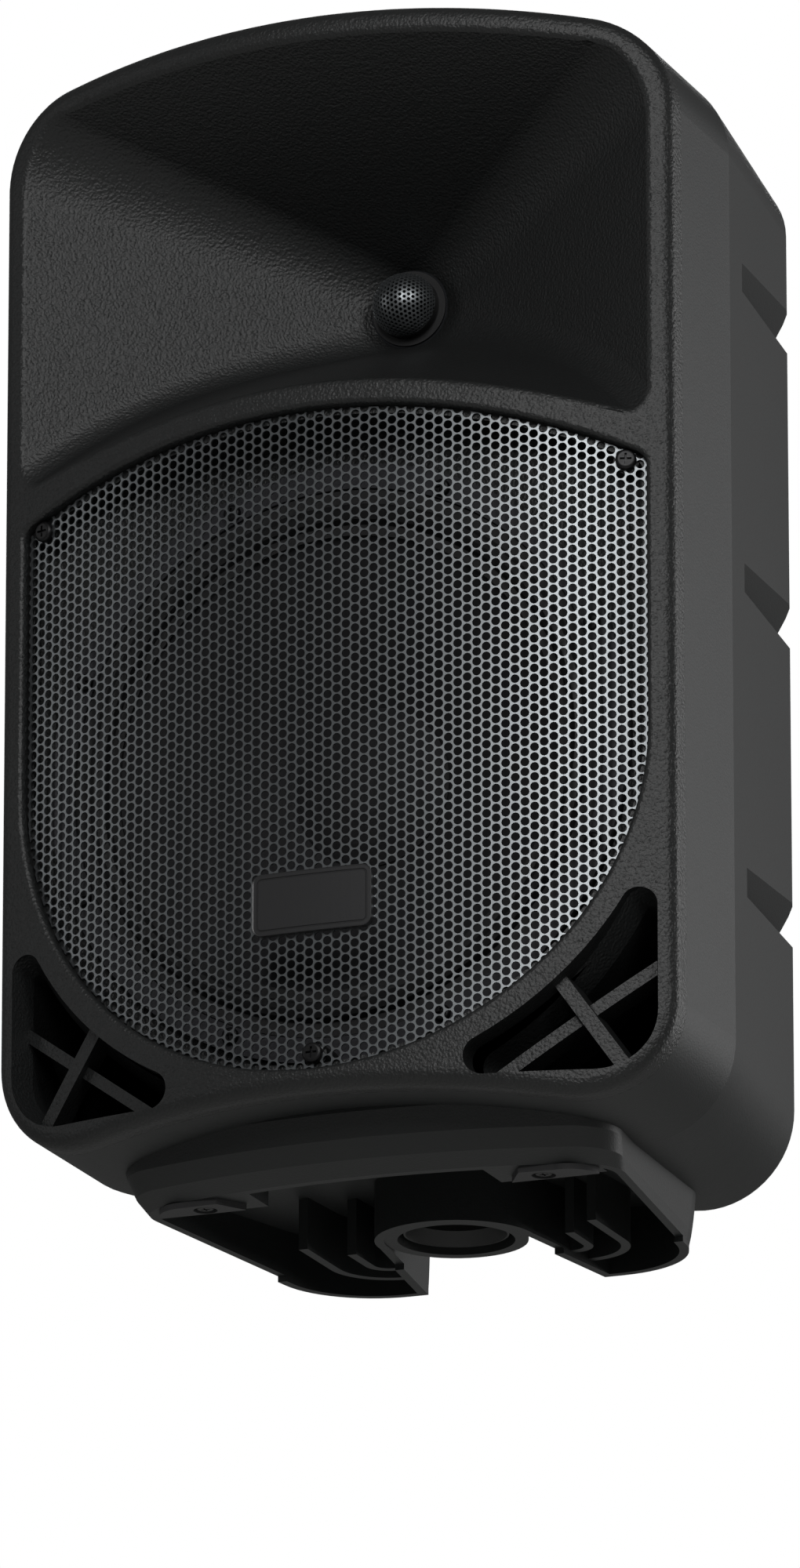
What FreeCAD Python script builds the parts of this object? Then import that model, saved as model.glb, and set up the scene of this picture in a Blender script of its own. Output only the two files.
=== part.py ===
"""Active two-way loudspeaker for a stand or the floor, about ten inches class.

Frame: X to the right seen from the front, Y from front to back, Z up, millimetres.
The origin is at the centre of the footprint, on the surface that the speaker stands on.
"""
import FreeCAD, Part
import math
import os
import re
import Sketcher

Vector = FreeCAD.Vector
doc = FreeCAD.newDocument("Loudspeaker")

# ---------------------------------------------------------------- driving dimensions
SIZES = {
    # cabinet outline, seen from the front
    "cabinet_half": 148.5,          # half the width
    "cabinet_top": 488.5,           # height of the crown
    "cabinet_depth": 250.0,
    "crown_radius": 605.0,          # arc of the top edge
    "shoulder_radius": 40.0,        # upper corners
    "foot_radius": 40.0,            # lower corners
    "sill_height": 25.5,            # lower edge at the middle
    "sill_radius": 606.0,           # arc of the lower edge
    "wall": 4.0,
    "fit_gap": 0.2,                 # between two mouldings that meet
    "loose_gap": 0.6,               # between a piece and the recess that it drops into
    # how the cabinet narrows behind its crease
    "crease_depth": 96.0,
    "rear_half": 120.0,
    "rear_shoulder": 28.0,
    "rear_sill": 32.0,
    "rear_round": 12.0,
    # gills in the sides
    "groove_low": 125.5,
    "groove_pitch": 131.5,
    "groove_start": 30.0,           # behind the crease
    "groove_mouth": 12.5,
    "groove_end": 20.5,
    "groove_climb": 12.5,
    "groove_slope": 1.36,
    # bowed front
    "bow_radius": 413.0,            # outer face of the grille
    "bezel_proud": 5.0,             # frame stands in front of the grille
    "bezel_thick": 11.0,
    "rim_round": 6.5,               # rounding of the frame's outer edge
    "well_round": 2.0,              # of its edge round the grille
    "mouth_round": 3.0,             # of its edge round the horn
    # grille opening
    "grille_half": 137.5,
    "grille_axis": 172.5,           # height of the woofer's axis
    "grille_top": 316.5,
    "grille_crown": 328.0,
    "grille_corner": 7.0,
    "grille_sheet": 1.2,
    "grille_ledge": 3.0,
    "grille_post": 5.2,
    # horn mouth and throat
    "mouth_half": 139.5,
    "mouth_top": 477.5,
    "mouth_bottom": 326.5,
    "mouth_arch": 257.0,
    "mouth_shoulder": 30.0,
    "mouth_corner": 8.0,
    "throat_radius": 17.0,
    "throat_height": 394.0,
    "throat_depth": 111.0,
    "horn_wall": 3.5,
    "horn_flange": 46.0,
    "horn_flange_thick": 5.0,
    # corner ports
    "port_arc": 148.0,
    "port_half": 141.5,
    "port_floor": 26.5,
    "port_tip": 7.0,
    "port_heel": 8.0,
    "port_corner": 25.0,
    "port_length": 78.0,
    "rib_thick": 6.0,
    "badge_half": 26.0,
    "badge_low": 93.0,
    "badge_high": 26.0,
    "badge_thick": 3.0,
    # woofer
    "baffle_depth": 35.0,           # front of the woofer's seat
    "baffle_thick": 6.0,
    "frame_radius": 127.5,
    "frame_thick": 3.0,
    "basket_radius": 112.0,
    "basket_depth": 65.0,
    "basket_wall": 2.5,
    "cone_radius": 100.0,
    "cone_rise": 46.0,
    "cone_sheet": 1.2,
    "dust_radius": 34.0,
    "coil_radius": 19.2,
    "pole_piece": 18.5,
    "magnet_radius": 60.0,
    "magnet_thick": 16.0,
    "plate_thick": 7.0,
    "coil_gap": 0.7,
    # high-frequency driver
    "driver_radius": 42.0,
    "driver_bore": 12.5,
    "mesh_radius": 13.8,
    "dome_radius": 17.0,
    # base
    "base_height": 2.5,             # the socket end and the front lip clear the floor by this
    "lip_radius": 307.0,
    "lip_front": 53.0,              # front lip behind the front of the cabinet
    "lobe_x": 48.0,
    "lobe_y": 65.0,
    "lobe_radius": 42.0,
    "base_corner": 20.0,
    "base_rake": 7.27,              # degrees that the base's sides close in towards the rear
    "base_wall": 4.0,
    "socket_y": 38.0,
    "pole_bore": 17.75,
    "socket_wall": 4.2,
    "socket_depth": 80.0,
    "ring_radius": 30.0,
    "channel_half": 45.0,
    "foot_x": 74.3,
    "foot_y": -54.2,
    # carrying handle
    "handle_half": 55.0,
    "handle_y": 66.0,
    "handle_pocket": 50.0,
    "handle_deep": 40.0,
    "handle_grip": 22.0,
    "handle_thick": 15.0,
    "handle_drop": 11.5,
    # amplifier panel
    "panel_half": 75.0,
    "panel_low": 130.0,
    "panel_high": 385.0,
    "panel_recess": 16.0,
    "panel_sheet": 2.0,
    "panel_ledge": 6.0,
    "knob_radius": 8.0,
    "knob_height": 12.0,
    "spindle_radius": 3.0,
    "socket_hole": 12.0,
    "button_half": 3.5,
    "moving_gap": 0.3,
    "board_sheet": 1.6,
    "board_stand": 12.0,
}

sheet = doc.addObject("Spreadsheet::Sheet", "Sizes")
for row, (alias, value) in enumerate(SIZES.items(), start=1):
    sheet.set("A%d" % row, alias.replace("_", " "))
    sheet.set("B%d" % row, str(value))
    sheet.setAlias("B%d" % row, alias)
doc.recompute()


def size(alias):
    """The sheet's value of one driving dimension."""
    return float(sheet.get(alias))


def link(expression):
    """The same expression with each size name pointed at the sheet."""
    return re.sub(r"[a-z][a-z_]+", lambda word: "Sizes." + word.group()
                  if word.group() in SIZES else word.group(), expression)


def worth(expression):
    """What an expression of sizes comes to now."""
    return float(sheet.evalExpression(expression))


# places that several pieces share, as expressions of the sheet
FRONT = "(-cabinet_depth / 2)"
REAR = "(cabinet_depth / 2)"
BOW_Y = "(-cabinet_depth / 2 + bezel_proud + bow_radius)"      # axis of every bowed face
SEAT = "(-cabinet_depth / 2 + baffle_depth)"                   # woofer's seat
THROAT = "(-cabinet_depth / 2 + throat_depth)"                 # back of the horn
PANEL_FACE = "(cabinet_depth / 2 - panel_recess)"
PANEL_BACK = "(cabinet_depth / 2 - panel_recess - panel_sheet)"
pieces = {}


# ---------------------------------------------------------------- small makers
def keep(label, item):
    """Name a finished piece and list it for export."""
    item.Label = label
    pieces[label] = item
    return item


def place(item, x, y, z):
    """Bind an object's position to the sheet."""
    for axis, expression in (("x", x), ("y", y), ("z", z)):
        item.setExpression("Placement.Base." + axis, link(expression))


def cylinder(name, radius, length, x, y, z, along="y"):
    """A primitive cylinder that runs up, back or to the right from its base point."""
    item = doc.addObject("Part::Cylinder", name)
    item.setExpression("Radius", link(radius))
    item.setExpression("Height", link(length))
    turns = {"z": (Vector(0, 0, 1), 0), "y": (Vector(1, 0, 0), -90), "x": (Vector(0, 1, 0), 90)}
    item.Placement = FreeCAD.Placement(Vector(), FreeCAD.Rotation(*turns[along]))
    place(item, x, y, z)
    return item


def block(name, length, width, height, x, y, z):
    """A primitive box from its lowest corner."""
    item = doc.addObject("Part::Box", name)
    item.setExpression("Length", link(length))
    item.setExpression("Width", link(width))
    item.setExpression("Height", link(height))
    place(item, x, y, z)
    return item


def cut(name, base, *tools):
    """Base less every tool."""
    if len(tools) == 1:
        tool = tools[0]
    else:
        tool = doc.addObject("Part::MultiFuse", name + "_tools")
        tool.Shapes = list(tools)
    item = doc.addObject("Part::Cut", name + "_cut")
    item.Base = base
    item.Tool = tool
    return item


def join(name, *items):
    """One solid of several that overlap."""
    item = doc.addObject("Part::MultiFuse", name + "_join")
    item.Shapes = list(items)
    return item


def turned(name, points, x, y, z, upright=False):
    """A body turned about its own axis from a profile of (radius, distance along the axis)."""
    body = doc.addObject("PartDesign::Body", name + "_body")
    sketch = body.newObject("Sketcher::SketchObject", name + "_profile")
    role = "XZ_Plane" if upright else "XY_Plane"
    plane = [feature for feature in body.Origin.OriginFeatures if feature.Role == role][0]
    sketch.AttachmentSupport = (plane, [""])
    sketch.MapMode = "FlatFace"
    corners = [Vector(worth(r), worth(t), 0) for r, t in points]
    for index, corner in enumerate(corners):
        sketch.addGeometry(Part.LineSegment(corner, corners[(index + 1) % len(corners)]), False)
    for index in range(len(corners)):
        sketch.addConstraint(Sketcher.Constraint("Coincident", index, 2, (index + 1) % len(corners), 1))
    for index, pair in enumerate(points):
        for kind, expression, axis in (("DistanceX", pair[0], -2), ("DistanceY", pair[1], -1)):
            if expression == "0":
                sketch.addConstraint(Sketcher.Constraint("PointOnObject", index, 1, axis))
                continue
            number = sketch.addConstraint(
                Sketcher.Constraint(kind, -1, 1, index, 1, worth(expression)))
            sketch.setExpression("Constraints[%d]" % number, link(expression))
    turn = body.newObject("PartDesign::Revolution", name + "_turn")
    turn.Profile = sketch
    turn.ReferenceAxis = (sketch, ["V_Axis"])
    turn.Angle = 360
    body.Tip = turn
    place(body, x, y, z)
    return body


def shaped(label, shape):
    """A piece whose shape comes from this file's own functions."""
    item = doc.addObject("Part::Feature", label)
    item.Shape = shape
    return keep(label, item)


def prism(wire, start, end):
    """A closed wire in an upright plane at depth start, drawn back to depth end."""
    return Part.Face(wire).extrude(Vector(0, end - start, 0))


def middle(centre, radius, first, last):
    """The point halfway round a short arc."""
    chord = Vector((first.x + last.x) / 2, (first.y + last.y) / 2, (first.z + last.z) / 2) - centre
    return centre + chord * (radius / chord.Length)


def flip(point):
    """The same point on the cabinet's other side."""
    return Vector(-point.x, point.y, point.z)


def bowed(proud):
    """A large upright cylinder whose front lies proud of the grille's outer face."""
    return Part.makeCylinder(size("bow_radius") + proud, 2 * size("cabinet_top"),
                             Vector(0, worth(BOW_Y), -size("cabinet_top") / 2))


def bow_depth(x, proud=0.0):
    """Depth of a bowed face at a distance from the centre plane."""
    return worth(BOW_Y) - math.sqrt((size("bow_radius") + proud) ** 2 - x * x)


def facing(x):
    """Rotation that turns the depth axis square to the bowed front at x."""
    return FreeCAD.Rotation(Vector(0, 0, 1), math.degrees(math.asin(x / size("bow_radius"))))


def repeated(shape, spots):
    """Copies of one shape, each its own solid, at points or at whole placements."""
    copies = []
    for spot in spots:
        copy = shape.copy()
        move = spot if isinstance(spot, FreeCAD.Placement) else FreeCAD.Placement(spot, FreeCAD.Rotation())
        copy.Placement = move.multiply(copy.Placement)
        copies.append(copy)
    return Part.makeCompound(copies)


def screw(head_radius, head_height, shank_radius, shank_length, cross=True):
    """Pan-head screw that enters along +Y; its head's seat is at zero depth."""
    head = Part.makeCylinder(head_radius, head_height, Vector(0, -head_height, 0), Vector(0, 1, 0))
    rim = [edge for edge in head.Edges if abs(edge.CenterOfMass.y + head_height) < 0.01]
    head = head.makeFillet(head_height * 0.55, rim)
    if cross:
        slot = head_radius * 1.1
        width = head_radius * 0.22
        for length, height in ((slot, width), (width, slot)):
            head = head.cut(Part.makeBox(length, head_height * 0.5, height,
                                         Vector(-length / 2, -head_height, -height / 2)))
    shank = Part.makeCylinder(shank_radius, shank_length, Vector(0, 0, 0), Vector(0, 1, 0))
    return head.fuse(shank).removeSplitter()


# ---------------------------------------------------------------- outlines
def outline(y, half, top, crown, upper, bottom, arch, lower):
    """Closed wire at depth y: upright sides, a crowned top, an arched bottom and round corners."""
    high = Vector(0, y, top - crown)
    low = Vector(0, y, bottom - arch)
    shoulder = Vector(half - upper, y, high.z + math.sqrt((crown - upper) ** 2 - (half - upper) ** 2))
    foot = Vector(half - lower, y, low.z + math.sqrt((arch + lower) ** 2 - (half - lower) ** 2))
    crown_end = high + (shoulder - high) * (crown / (crown - upper))
    arch_end = low + (foot - low) * (arch / (arch + lower))
    side_top = Vector(half, y, shoulder.z)
    side_low = Vector(half, y, foot.z)

    def arc(first, through, last):
        return Part.Arc(first, through, last).toShape()

    high_mid = middle(shoulder, upper, side_top, crown_end)
    low_mid = middle(foot, lower, side_low, arch_end)
    return Part.Wire([
        Part.makeLine(side_low, side_top),
        arc(side_top, high_mid, crown_end),
        arc(crown_end, Vector(0, y, top), flip(crown_end)),
        arc(flip(crown_end), flip(high_mid), flip(side_top)),
        Part.makeLine(flip(side_top), flip(side_low)),
        arc(flip(side_low), flip(low_mid), flip(arch_end)),
        arc(flip(arch_end), Vector(0, y, bottom), arch_end),
        arc(arch_end, low_mid, side_low),
    ])


def cabinet_outline(y, inset, back=0.0):
    """The cabinet's section; back is 0 at the crease and in front of it and 1 at the rear."""
    def between(front, rear):
        return front + (rear - front) * back

    half = between(size("cabinet_half"), size("rear_half")) - inset
    shoulder = between(size("shoulder_radius"), size("rear_shoulder")) - inset
    sill = between(size("sill_height"), size("rear_sill")) + inset
    return outline(y, half, size("cabinet_top") - inset, size("crown_radius") - inset, shoulder,
                   sill, size("sill_radius") + inset, size("foot_radius") - inset)


def grille_outline(y, inset):
    """Closed wire of the grille: crowned top, upright sides and a half-round bottom."""
    half = size("grille_half") - inset
    top = size("grille_top") - inset
    crown = size("grille_crown") - inset
    corner = max(size("grille_corner") - inset, 1.0)
    high = Vector(0, y, top - crown)
    axis = Vector(0, y, size("grille_axis"))
    shoulder = Vector(half - corner, y, high.z + math.sqrt((crown - corner) ** 2 - (half - corner) ** 2))
    crown_end = high + (shoulder - high) * (crown / (crown - corner))
    side_top = Vector(half, y, shoulder.z)
    turn = middle(shoulder, corner, side_top, crown_end)

    return Part.Wire([
        Part.makeLine(axis + Vector(half, 0, 0), side_top),
        Part.Arc(side_top, turn, crown_end).toShape(),
        Part.Arc(crown_end, Vector(0, y, top), flip(crown_end)).toShape(),
        Part.Arc(flip(crown_end), flip(turn), flip(side_top)).toShape(),
        Part.makeLine(flip(side_top), axis - Vector(half, 0, 0)),
        Part.Arc(axis - Vector(half, 0, 0), axis - Vector(0, 0, half), axis + Vector(half, 0, 0)).toShape(),
    ])


def port_outline(y, side, grow):
    """Closed wire of one corner port, between the grille's round and the cabinet's corner."""
    axis = Vector(0, y, size("grille_axis"))
    arc_radius = size("port_arc") - grow
    half = size("port_half") + grow
    floor = size("port_floor") - grow
    tip, heel, corner = (size(name) + grow for name in ("port_tip", "port_heel", "port_corner"))
    tip_x = half - tip
    tip_centre = Vector(tip_x, y, axis.z - math.sqrt((arc_radius + tip) ** 2 - tip_x ** 2))
    heel_z = floor + heel
    heel_centre = Vector(math.sqrt((arc_radius + heel) ** 2 - (axis.z - heel_z) ** 2), y, heel_z)
    corner_centre = Vector(half - corner, y, floor + corner)
    on_arc_high = axis + (tip_centre - axis) * (arc_radius / (arc_radius + tip))
    on_arc_low = axis + (heel_centre - axis) * (arc_radius / (arc_radius + heel))
    tip_end = Vector(half, y, tip_centre.z)
    heel_end = Vector(heel_centre.x, y, floor)
    corner_high = Vector(half, y, corner_centre.z)
    corner_low = Vector(corner_centre.x, y, floor)
    stops = [
        (on_arc_high, middle(tip_centre, tip, on_arc_high, tip_end), tip_end),
        (tip_end, None, corner_high),
        (corner_high, middle(corner_centre, corner, corner_high, corner_low), corner_low),
        (corner_low, None, heel_end),
        (heel_end, middle(heel_centre, heel, heel_end, on_arc_low), on_arc_low),
        (on_arc_low, middle(axis, arc_radius, on_arc_low, on_arc_high), on_arc_high),
    ]

    def across(point):
        return Vector(side * point.x, point.y, point.z)

    edges = []
    for first, through, last in stops:
        if through is None:
            edges.append(Part.makeLine(across(first), across(last)))
        else:
            edges.append(Part.Arc(across(first), across(through), across(last)).toShape())
    return Part.Wire(edges)


def horn(grow):
    """The flare from the bowed mouth to the round throat, grown by a wall's thickness."""
    start = worth(FRONT) - 2.0
    end = worth(THROAT)
    throat = size("throat_radius")
    height = size("throat_height")
    corner_depth = bow_depth(size("mouth_half"), size("bezel_proud"))
    side_slope = (size("mouth_half") - throat) / (end - corner_depth)
    roof_slope = (size("mouth_top") - height - throat) / (end - worth(FRONT))
    floor_slope = (height - throat - size("mouth_bottom")) / (end - worth(FRONT))
    sections = []
    for step in range(5):
        share = step / 4
        y = start + (end - start) * share
        half = throat + side_slope * (end - y)
        top = height + throat + roof_slope * (end - y)
        bottom = height - throat - floor_slope * (end - y)
        ease = share ** 2
        upper = size("mouth_shoulder") + (throat * 0.96 - size("mouth_shoulder")) * ease
        lower = size("mouth_corner") + (throat * 0.96 - size("mouth_corner")) * ease
        arch = size("mouth_arch") * (1 + 3 * ease)
        sections.append(outline(y, half + grow, top + grow, 6000.0 - 5400.0 * ease, upper + grow,
                                bottom - grow, arch, lower + grow))
    return Part.makeLoft(sections, True, False)


# ---------------------------------------------------------------- front baffle
def slab(wire_at, near, far):
    """Part of a prism that lies between two bowed faces, given by how far each stands proud."""
    body = prism(wire_at(worth(FRONT) - 10), worth(FRONT) - 10, worth(SEAT) + 40)
    return body.common(bowed(near)).cut(bowed(far))


def rib(first, last, thick, near, far):
    """A straight upright web between two points (x, z), between two bowed faces."""
    run = Vector(last[0] - first[0], 0, last[1] - first[1])
    web = Part.makeBox(run.Length, size("cabinet_depth") / 2, thick, Vector(0, 0, -thick / 2))
    web.rotate(Vector(), Vector(0, 1, 0), -math.degrees(math.atan2(run.z, run.x)))
    web.translate(Vector(first[0], worth(FRONT), first[1]))
    return web.common(bowed(near)).cut(bowed(far))


def grille_screw_spots():
    """Centres of the three grille screws: two upper corners and the foot."""
    inset = size("grille_half") - 8.9
    low = size("grille_axis") - size("grille_half") + 7.0
    return [(-inset, size("grille_top") - 31.4), (inset, size("grille_top") - 31.4), (0.0, low)]


def on_bow(x, z, proud):
    """Placement at a point of the front, square to the bow."""
    radius = size("bow_radius") + proud
    turn = facing(x)
    y = worth(BOW_Y) - radius * math.cos(math.asin(x / size("bow_radius")))
    return FreeCAD.Placement(Vector(radius * x / size("bow_radius"), y, z), turn)


def boss_spots():
    """Heights of the posts that hold the two mouldings together, on both sides."""
    x = size("cabinet_half") - size("wall") - BOSS_RADIUS + 0.5
    return [(side * x, z) for side in (-1, 1) for z in (120.0, 250.0, 420.0)]


BOSS_RADIUS = 5.5
BOSS_JOINT = SEAT + " + 22"         # where the baffle's bosses meet the shell's posts
LEDGE_FACE = size("grille_sheet") + 0.1


def middle_of(edge):
    """The vertex halfway along an edge."""
    start, end = edge.ParameterRange
    return Part.Vertex(edge.valueAt((start + end) / 2))


def front_edges(shape, proud):
    """Edges that run all along the bowed face that stands proud of the cabinet by that much."""
    reach = size("bow_radius") + proud
    found = []
    for edge in shape.Edges:
        start, end = edge.ParameterRange
        points = [edge.valueAt(start + (end - start) * share) for share in (0.05, 0.5, 0.95)]
        if all(abs(math.hypot(p.x, p.y - worth(BOW_Y)) - reach) < 0.02 for p in points):
            found.append(edge)
    return found


def make_front_baffle():
    """One moulding: bowed frame, grille well with the woofer's seat, horn and both ports."""
    proud = size("bezel_proud")
    behind = proud - size("bezel_thick")
    frame = slab(lambda y: cabinet_outline(y, 0), proud, behind)
    frame = frame.makeFillet(size("rim_round"), front_edges(frame, proud))
    opening = prism(grille_outline(worth(FRONT) - 20, 0), worth(FRONT) - 20, worth(SEAT))
    frame = frame.cut([opening, horn(0.0)])
    for mouth, rounding in ((opening, "well_round"), (horn(0.0), "mouth_round")):
        lips = [edge for edge in front_edges(frame, proud) if mouth.distToShape(middle_of(edge))[0] < 0.05]
        frame = frame.makeFillet(size(rounding), lips)
    inset = size("wall") + size("fit_gap")
    tongue = slab(lambda y: cabinet_outline(y, inset), behind + 1, behind - 8)
    tongue = tongue.cut(slab(lambda y: cabinet_outline(y, inset + 3), behind + 2, behind - 9))
    seat_back = worth(SEAT) + size("baffle_thick")
    well = prism(grille_outline(worth(FRONT), -1.0), worth(FRONT), seat_back).common(bowed(0))
    inner_edge = prism(cabinet_outline(worth(FRONT) - 10, inset), worth(FRONT) - 10, worth(THROAT))
    parts = [tongue, well, horn(size("horn_wall")).common(bowed(proud - 3)).common(inner_edge)]
    flange_front = worth(THROAT) - size("horn_flange_thick")
    parts.append(Part.makeCylinder(size("horn_flange"), size("horn_flange_thick"),
                                   Vector(0, flange_front, size("throat_height")), Vector(0, 1, 0)))
    for side in (-1, 1):
        parts.append(port_duct(side, 0.0))
    for x, z in boss_spots():
        start = bow_depth(abs(x), behind + 1)
        parts.append(Part.makeCylinder(BOSS_RADIUS - 0.8, worth(BOSS_JOINT) - start, Vector(x, start, z),
                                       Vector(0, 1, 0)))
    body = frame.fuse(parts)

    cuts = [opening.cut(bowed(-LEDGE_FACE)), horn(0.0)]
    cuts.append(prism(grille_outline(worth(FRONT) - 20, size("grille_ledge")), worth(FRONT) - 20,
                      worth(SEAT)))
    cuts.append(Part.makeCylinder(size("basket_radius") + 2, 3 * size("baffle_thick"),
                                  Vector(0, worth(SEAT) - size("baffle_thick"), size("grille_axis")),
                                  Vector(0, 1, 0)))
    cuts.append(Part.makeCylinder(size("throat_radius"), 20,
                                  Vector(0, worth(THROAT) - 10, size("throat_height")), Vector(0, 1, 0)))
    for side in (-1, 1):
        cuts.append(port_duct(side, -3.0))
    body = body.cut(cuts)

    posts = []
    for x, z in grille_screw_spots():
        post = Part.makeCylinder(size("grille_post"), 14, Vector(), Vector(0, 1, 0))
        post.Placement = on_bow(x, z, -LEDGE_FACE - 0.3)
        posts.append(post)
    body = body.fuse(posts)
    holes = []
    for x, z in grille_screw_spots():
        hole = Part.makeCylinder(1.8, 13, Vector(0, -1, 0), Vector(0, 1, 0))
        hole.Placement = on_bow(x, z, -LEDGE_FACE)
        holes.append(hole)
    for x, z in boss_spots():
        holes.append(Part.makeCylinder(1.6, 12, Vector(x, worth(BOSS_JOINT) - 12, z), Vector(0, 1, 0)))
    for x, z in woofer_screw_spots():
        holes.append(Part.makeCylinder(2.05, 30, Vector(x, worth(SEAT) - 1, z), Vector(0, 1, 0)))
    for x, z in driver_screw_spots():
        holes.append(Part.makeCylinder(2.3, 20, Vector(x, flange_front - 8, z), Vector(0, 1, 0)))
    body = body.cut(holes)
    return body.fuse(port_ribs()).removeSplitter()


def port_duct(side, grow):
    """A port's tapering passage; grow sets its outer wall (0) or its inside (-3)."""
    start = worth(FRONT) - 2
    mouth = bow_depth(size("port_half"), size("bezel_proud"))
    neck = bow_depth(size("port_half"), size("bezel_proud") - size("bezel_thick"))
    end = worth(FRONT) + size("port_length")
    spill = 2.0 if grow < 0 else 0.0
    lip = 0.0 if grow < 0 else -0.5
    throat = grow - 1.6
    sections = [port_outline(y, side, g) for y, g in (
        (start, lip), (mouth, lip), (neck, throat), (end + spill, throat - 1.5))]
    duct = Part.makeLoft(sections, True, True)
    return duct.common(bowed(size("bezel_proud") - 3)) if grow == 0 else duct


def port_ribs():
    """Two crossed webs in each port, the second set a little further back."""
    thick = size("rib_thick")
    webs = []
    for side in (-1, 1):
        inner = port_outline(worth(FRONT) - 10, side, 0.5)
        passage = prism(inner, worth(FRONT) - 10, worth(SEAT) + 10)
        for first, last, width, near, far in (
                ((100, 68), (130, 24), thick, -1.0, -14.0),
                ((139, 72), (73, 25), thick - 1, -5.0, -17.0)):
            web = rib((side * first[0], first[1]), (side * last[0], last[1]), width, near, far)
            webs.append(web.common(passage))
    return webs


def woofer_screw_spots():
    """Eight woofer screws on a circle in the middle of the frame's rim."""
    radius = (size("frame_radius") + size("basket_radius")) / 2 + 1.5
    angles = [math.radians(22.5 + 45 * index) for index in range(8)]
    return [(radius * math.cos(a), size("grille_axis") + radius * math.sin(a)) for a in angles]


def driver_screw_spots():
    """Four driver bolts outside the horn's walls."""
    radius = size("driver_radius") - 4
    return [(radius * math.cos(math.radians(a)), size("throat_height") + radius * math.sin(math.radians(a)))
            for a in (62, 118, 242, 298)]


shaped("front_baffle", make_front_baffle())


# ---------------------------------------------------------------- cabinet shell
def cabinet_solid(inset, rear):
    """The cabinet's outer form, or the cavity at an inset from it, as far back as rear."""
    crease = worth(FRONT) + size("crease_depth")
    round_start = rear - size("rear_round") + inset
    span = worth(REAR) - crease
    full = max(size("rear_round") - inset, 1.0)
    rows = [(worth(FRONT) - 20, 0.0, inset), (crease, 0.0, inset),
            (round_start, (round_start - crease) / span, inset)]
    for share in (0.35, 0.7, 0.92, 1.0):
        y = round_start + full * share
        pull = full * (1 - math.sqrt(1 - min(share, 0.999) ** 2)) * 0.95
        rows.append((min(y, rear), (y - crease) / span, inset + pull))
    wires = [cabinet_outline(y, pull, back) for y, back, pull in rows]
    return Part.makeLoft(wires, True, True)


def base_outline(z, front, grow):
    """Plan of the base at height z: bowed lip, raked sides and two round rear lobes."""
    radius = size("lip_radius") + grow
    centre = Vector(0, front + size("lip_radius"), z)
    lobe = Vector(size("lobe_x"), size("lobe_y"), z)
    lobe_radius = size("lobe_radius") + grow
    corner = size("base_corner") + grow
    lean = math.radians(size("base_rake"))
    normal = Vector(math.cos(lean), math.sin(lean), 0)
    along = Vector(normal.y, -normal.x, 0)
    touch = lobe + normal * lobe_radius
    offset = touch - normal * corner - centre
    reach = -offset.dot(along) + math.sqrt(
        offset.dot(along) ** 2 - offset.dot(offset) + (radius - corner) ** 2)
    corner_centre = touch - normal * corner + along * reach
    lip_end = centre + (corner_centre - centre) * (radius / (radius - corner))
    side_end = corner_centre + normal * corner
    back = Vector(lobe.x, lobe.y + lobe_radius, z)
    turn = middle(corner_centre, corner, lip_end, side_end)
    swing = middle(lobe, lobe_radius, touch, back)
    return Part.Wire([
        Part.Arc(flip(lip_end), centre - Vector(0, radius, 0), lip_end).toShape(),
        Part.Arc(lip_end, turn, side_end).toShape(),
        Part.makeLine(side_end, touch),
        Part.Arc(touch, swing, back).toShape(),
        Part.makeLine(back, flip(back)),
        Part.Arc(flip(back), flip(swing), flip(touch)).toShape(),
        Part.makeLine(flip(touch), flip(side_end)),
        Part.Arc(flip(side_end), flip(turn), flip(lip_end)).toShape(),
    ])


def keyhole(grow, low, high):
    """The channel that runs from the pole socket out to the rear, grown by a wall."""
    y = size("socket_y")
    half = size("ring_radius") + grow
    end = size("channel_half") + grow
    back = worth(REAR) + 20
    plan = Part.makePolygon([Vector(-half, y, low), Vector(half, y, low), Vector(end, back, low),
                             Vector(-end, back, low), Vector(-half, y, low)])
    channel = Part.Face(plan).extrude(Vector(0, 0, high - low))
    return channel.fuse(Part.makeCylinder(half, high - low, Vector(0, y, low)))


def base_block(inset):
    """The base below the cabinet, with a shoulder that swells to the front lip."""
    front = worth(FRONT) + size("lip_front")
    top = size("rear_sill") + 4
    steps = [(0.0 if inset else size("base_height"), 0.0, 0.0), (7.0, -9.0, 1.0), (14.0, -15.0, 2.0),
             (24.0, -18.0, 3.0), (top, -18.5, 3.0)]
    return Part.makeLoft([base_outline(z, front + shift + inset, swell - inset)
                          for z, shift, swell in steps], True, True)


def make_cabinet_shell():
    """The rear moulding: tapered shell, grooved sides, handle pocket, panel recess and base."""
    wall = size("wall")
    behind = size("bezel_proud") - size("bezel_thick")
    body = cabinet_solid(0, worth(REAR))
    base = base_block(0)
    lobes = base_outline(0, worth(FRONT) + size("lip_front"), 0)
    lobe_feet = Part.Face(lobes).extrude(Vector(0, 0, 12))
    lobe_feet = lobe_feet.common(Part.makeBox(400, 200, 20, Vector(-200, size("lobe_y") - 1, 0)))
    body = body.fuse([base, lobe_feet])
    body = body.common(bowed(behind - size("fit_gap") / 2).fuse(
        Part.makeBox(600, worth(REAR) * 2, 600, Vector(-300, worth(SEAT) + 60, -20))))

    # underside: hollow base, then the keyhole walls, the ring and the ribs go back in
    ceiling = cabinet_solid(0, worth(REAR))
    hollow = base_block(size("base_wall")).cut(keyhole(size("base_wall"), -5, 60)).cut(ceiling)
    channel = keyhole(0, -5, 60).cut(ceiling)
    body = body.cut([hollow, channel])
    body = body.fuse(base_ribs(ceiling))

    cavity = cabinet_solid(wall, worth(REAR) - wall).cut(kept_inside())
    grooves = [side_groove(side, z, 0) for side in (-1, 1) for z in groove_heights()]
    return body.cut([cavity]).cut(shell_cuts()).cut(grooves)


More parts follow.
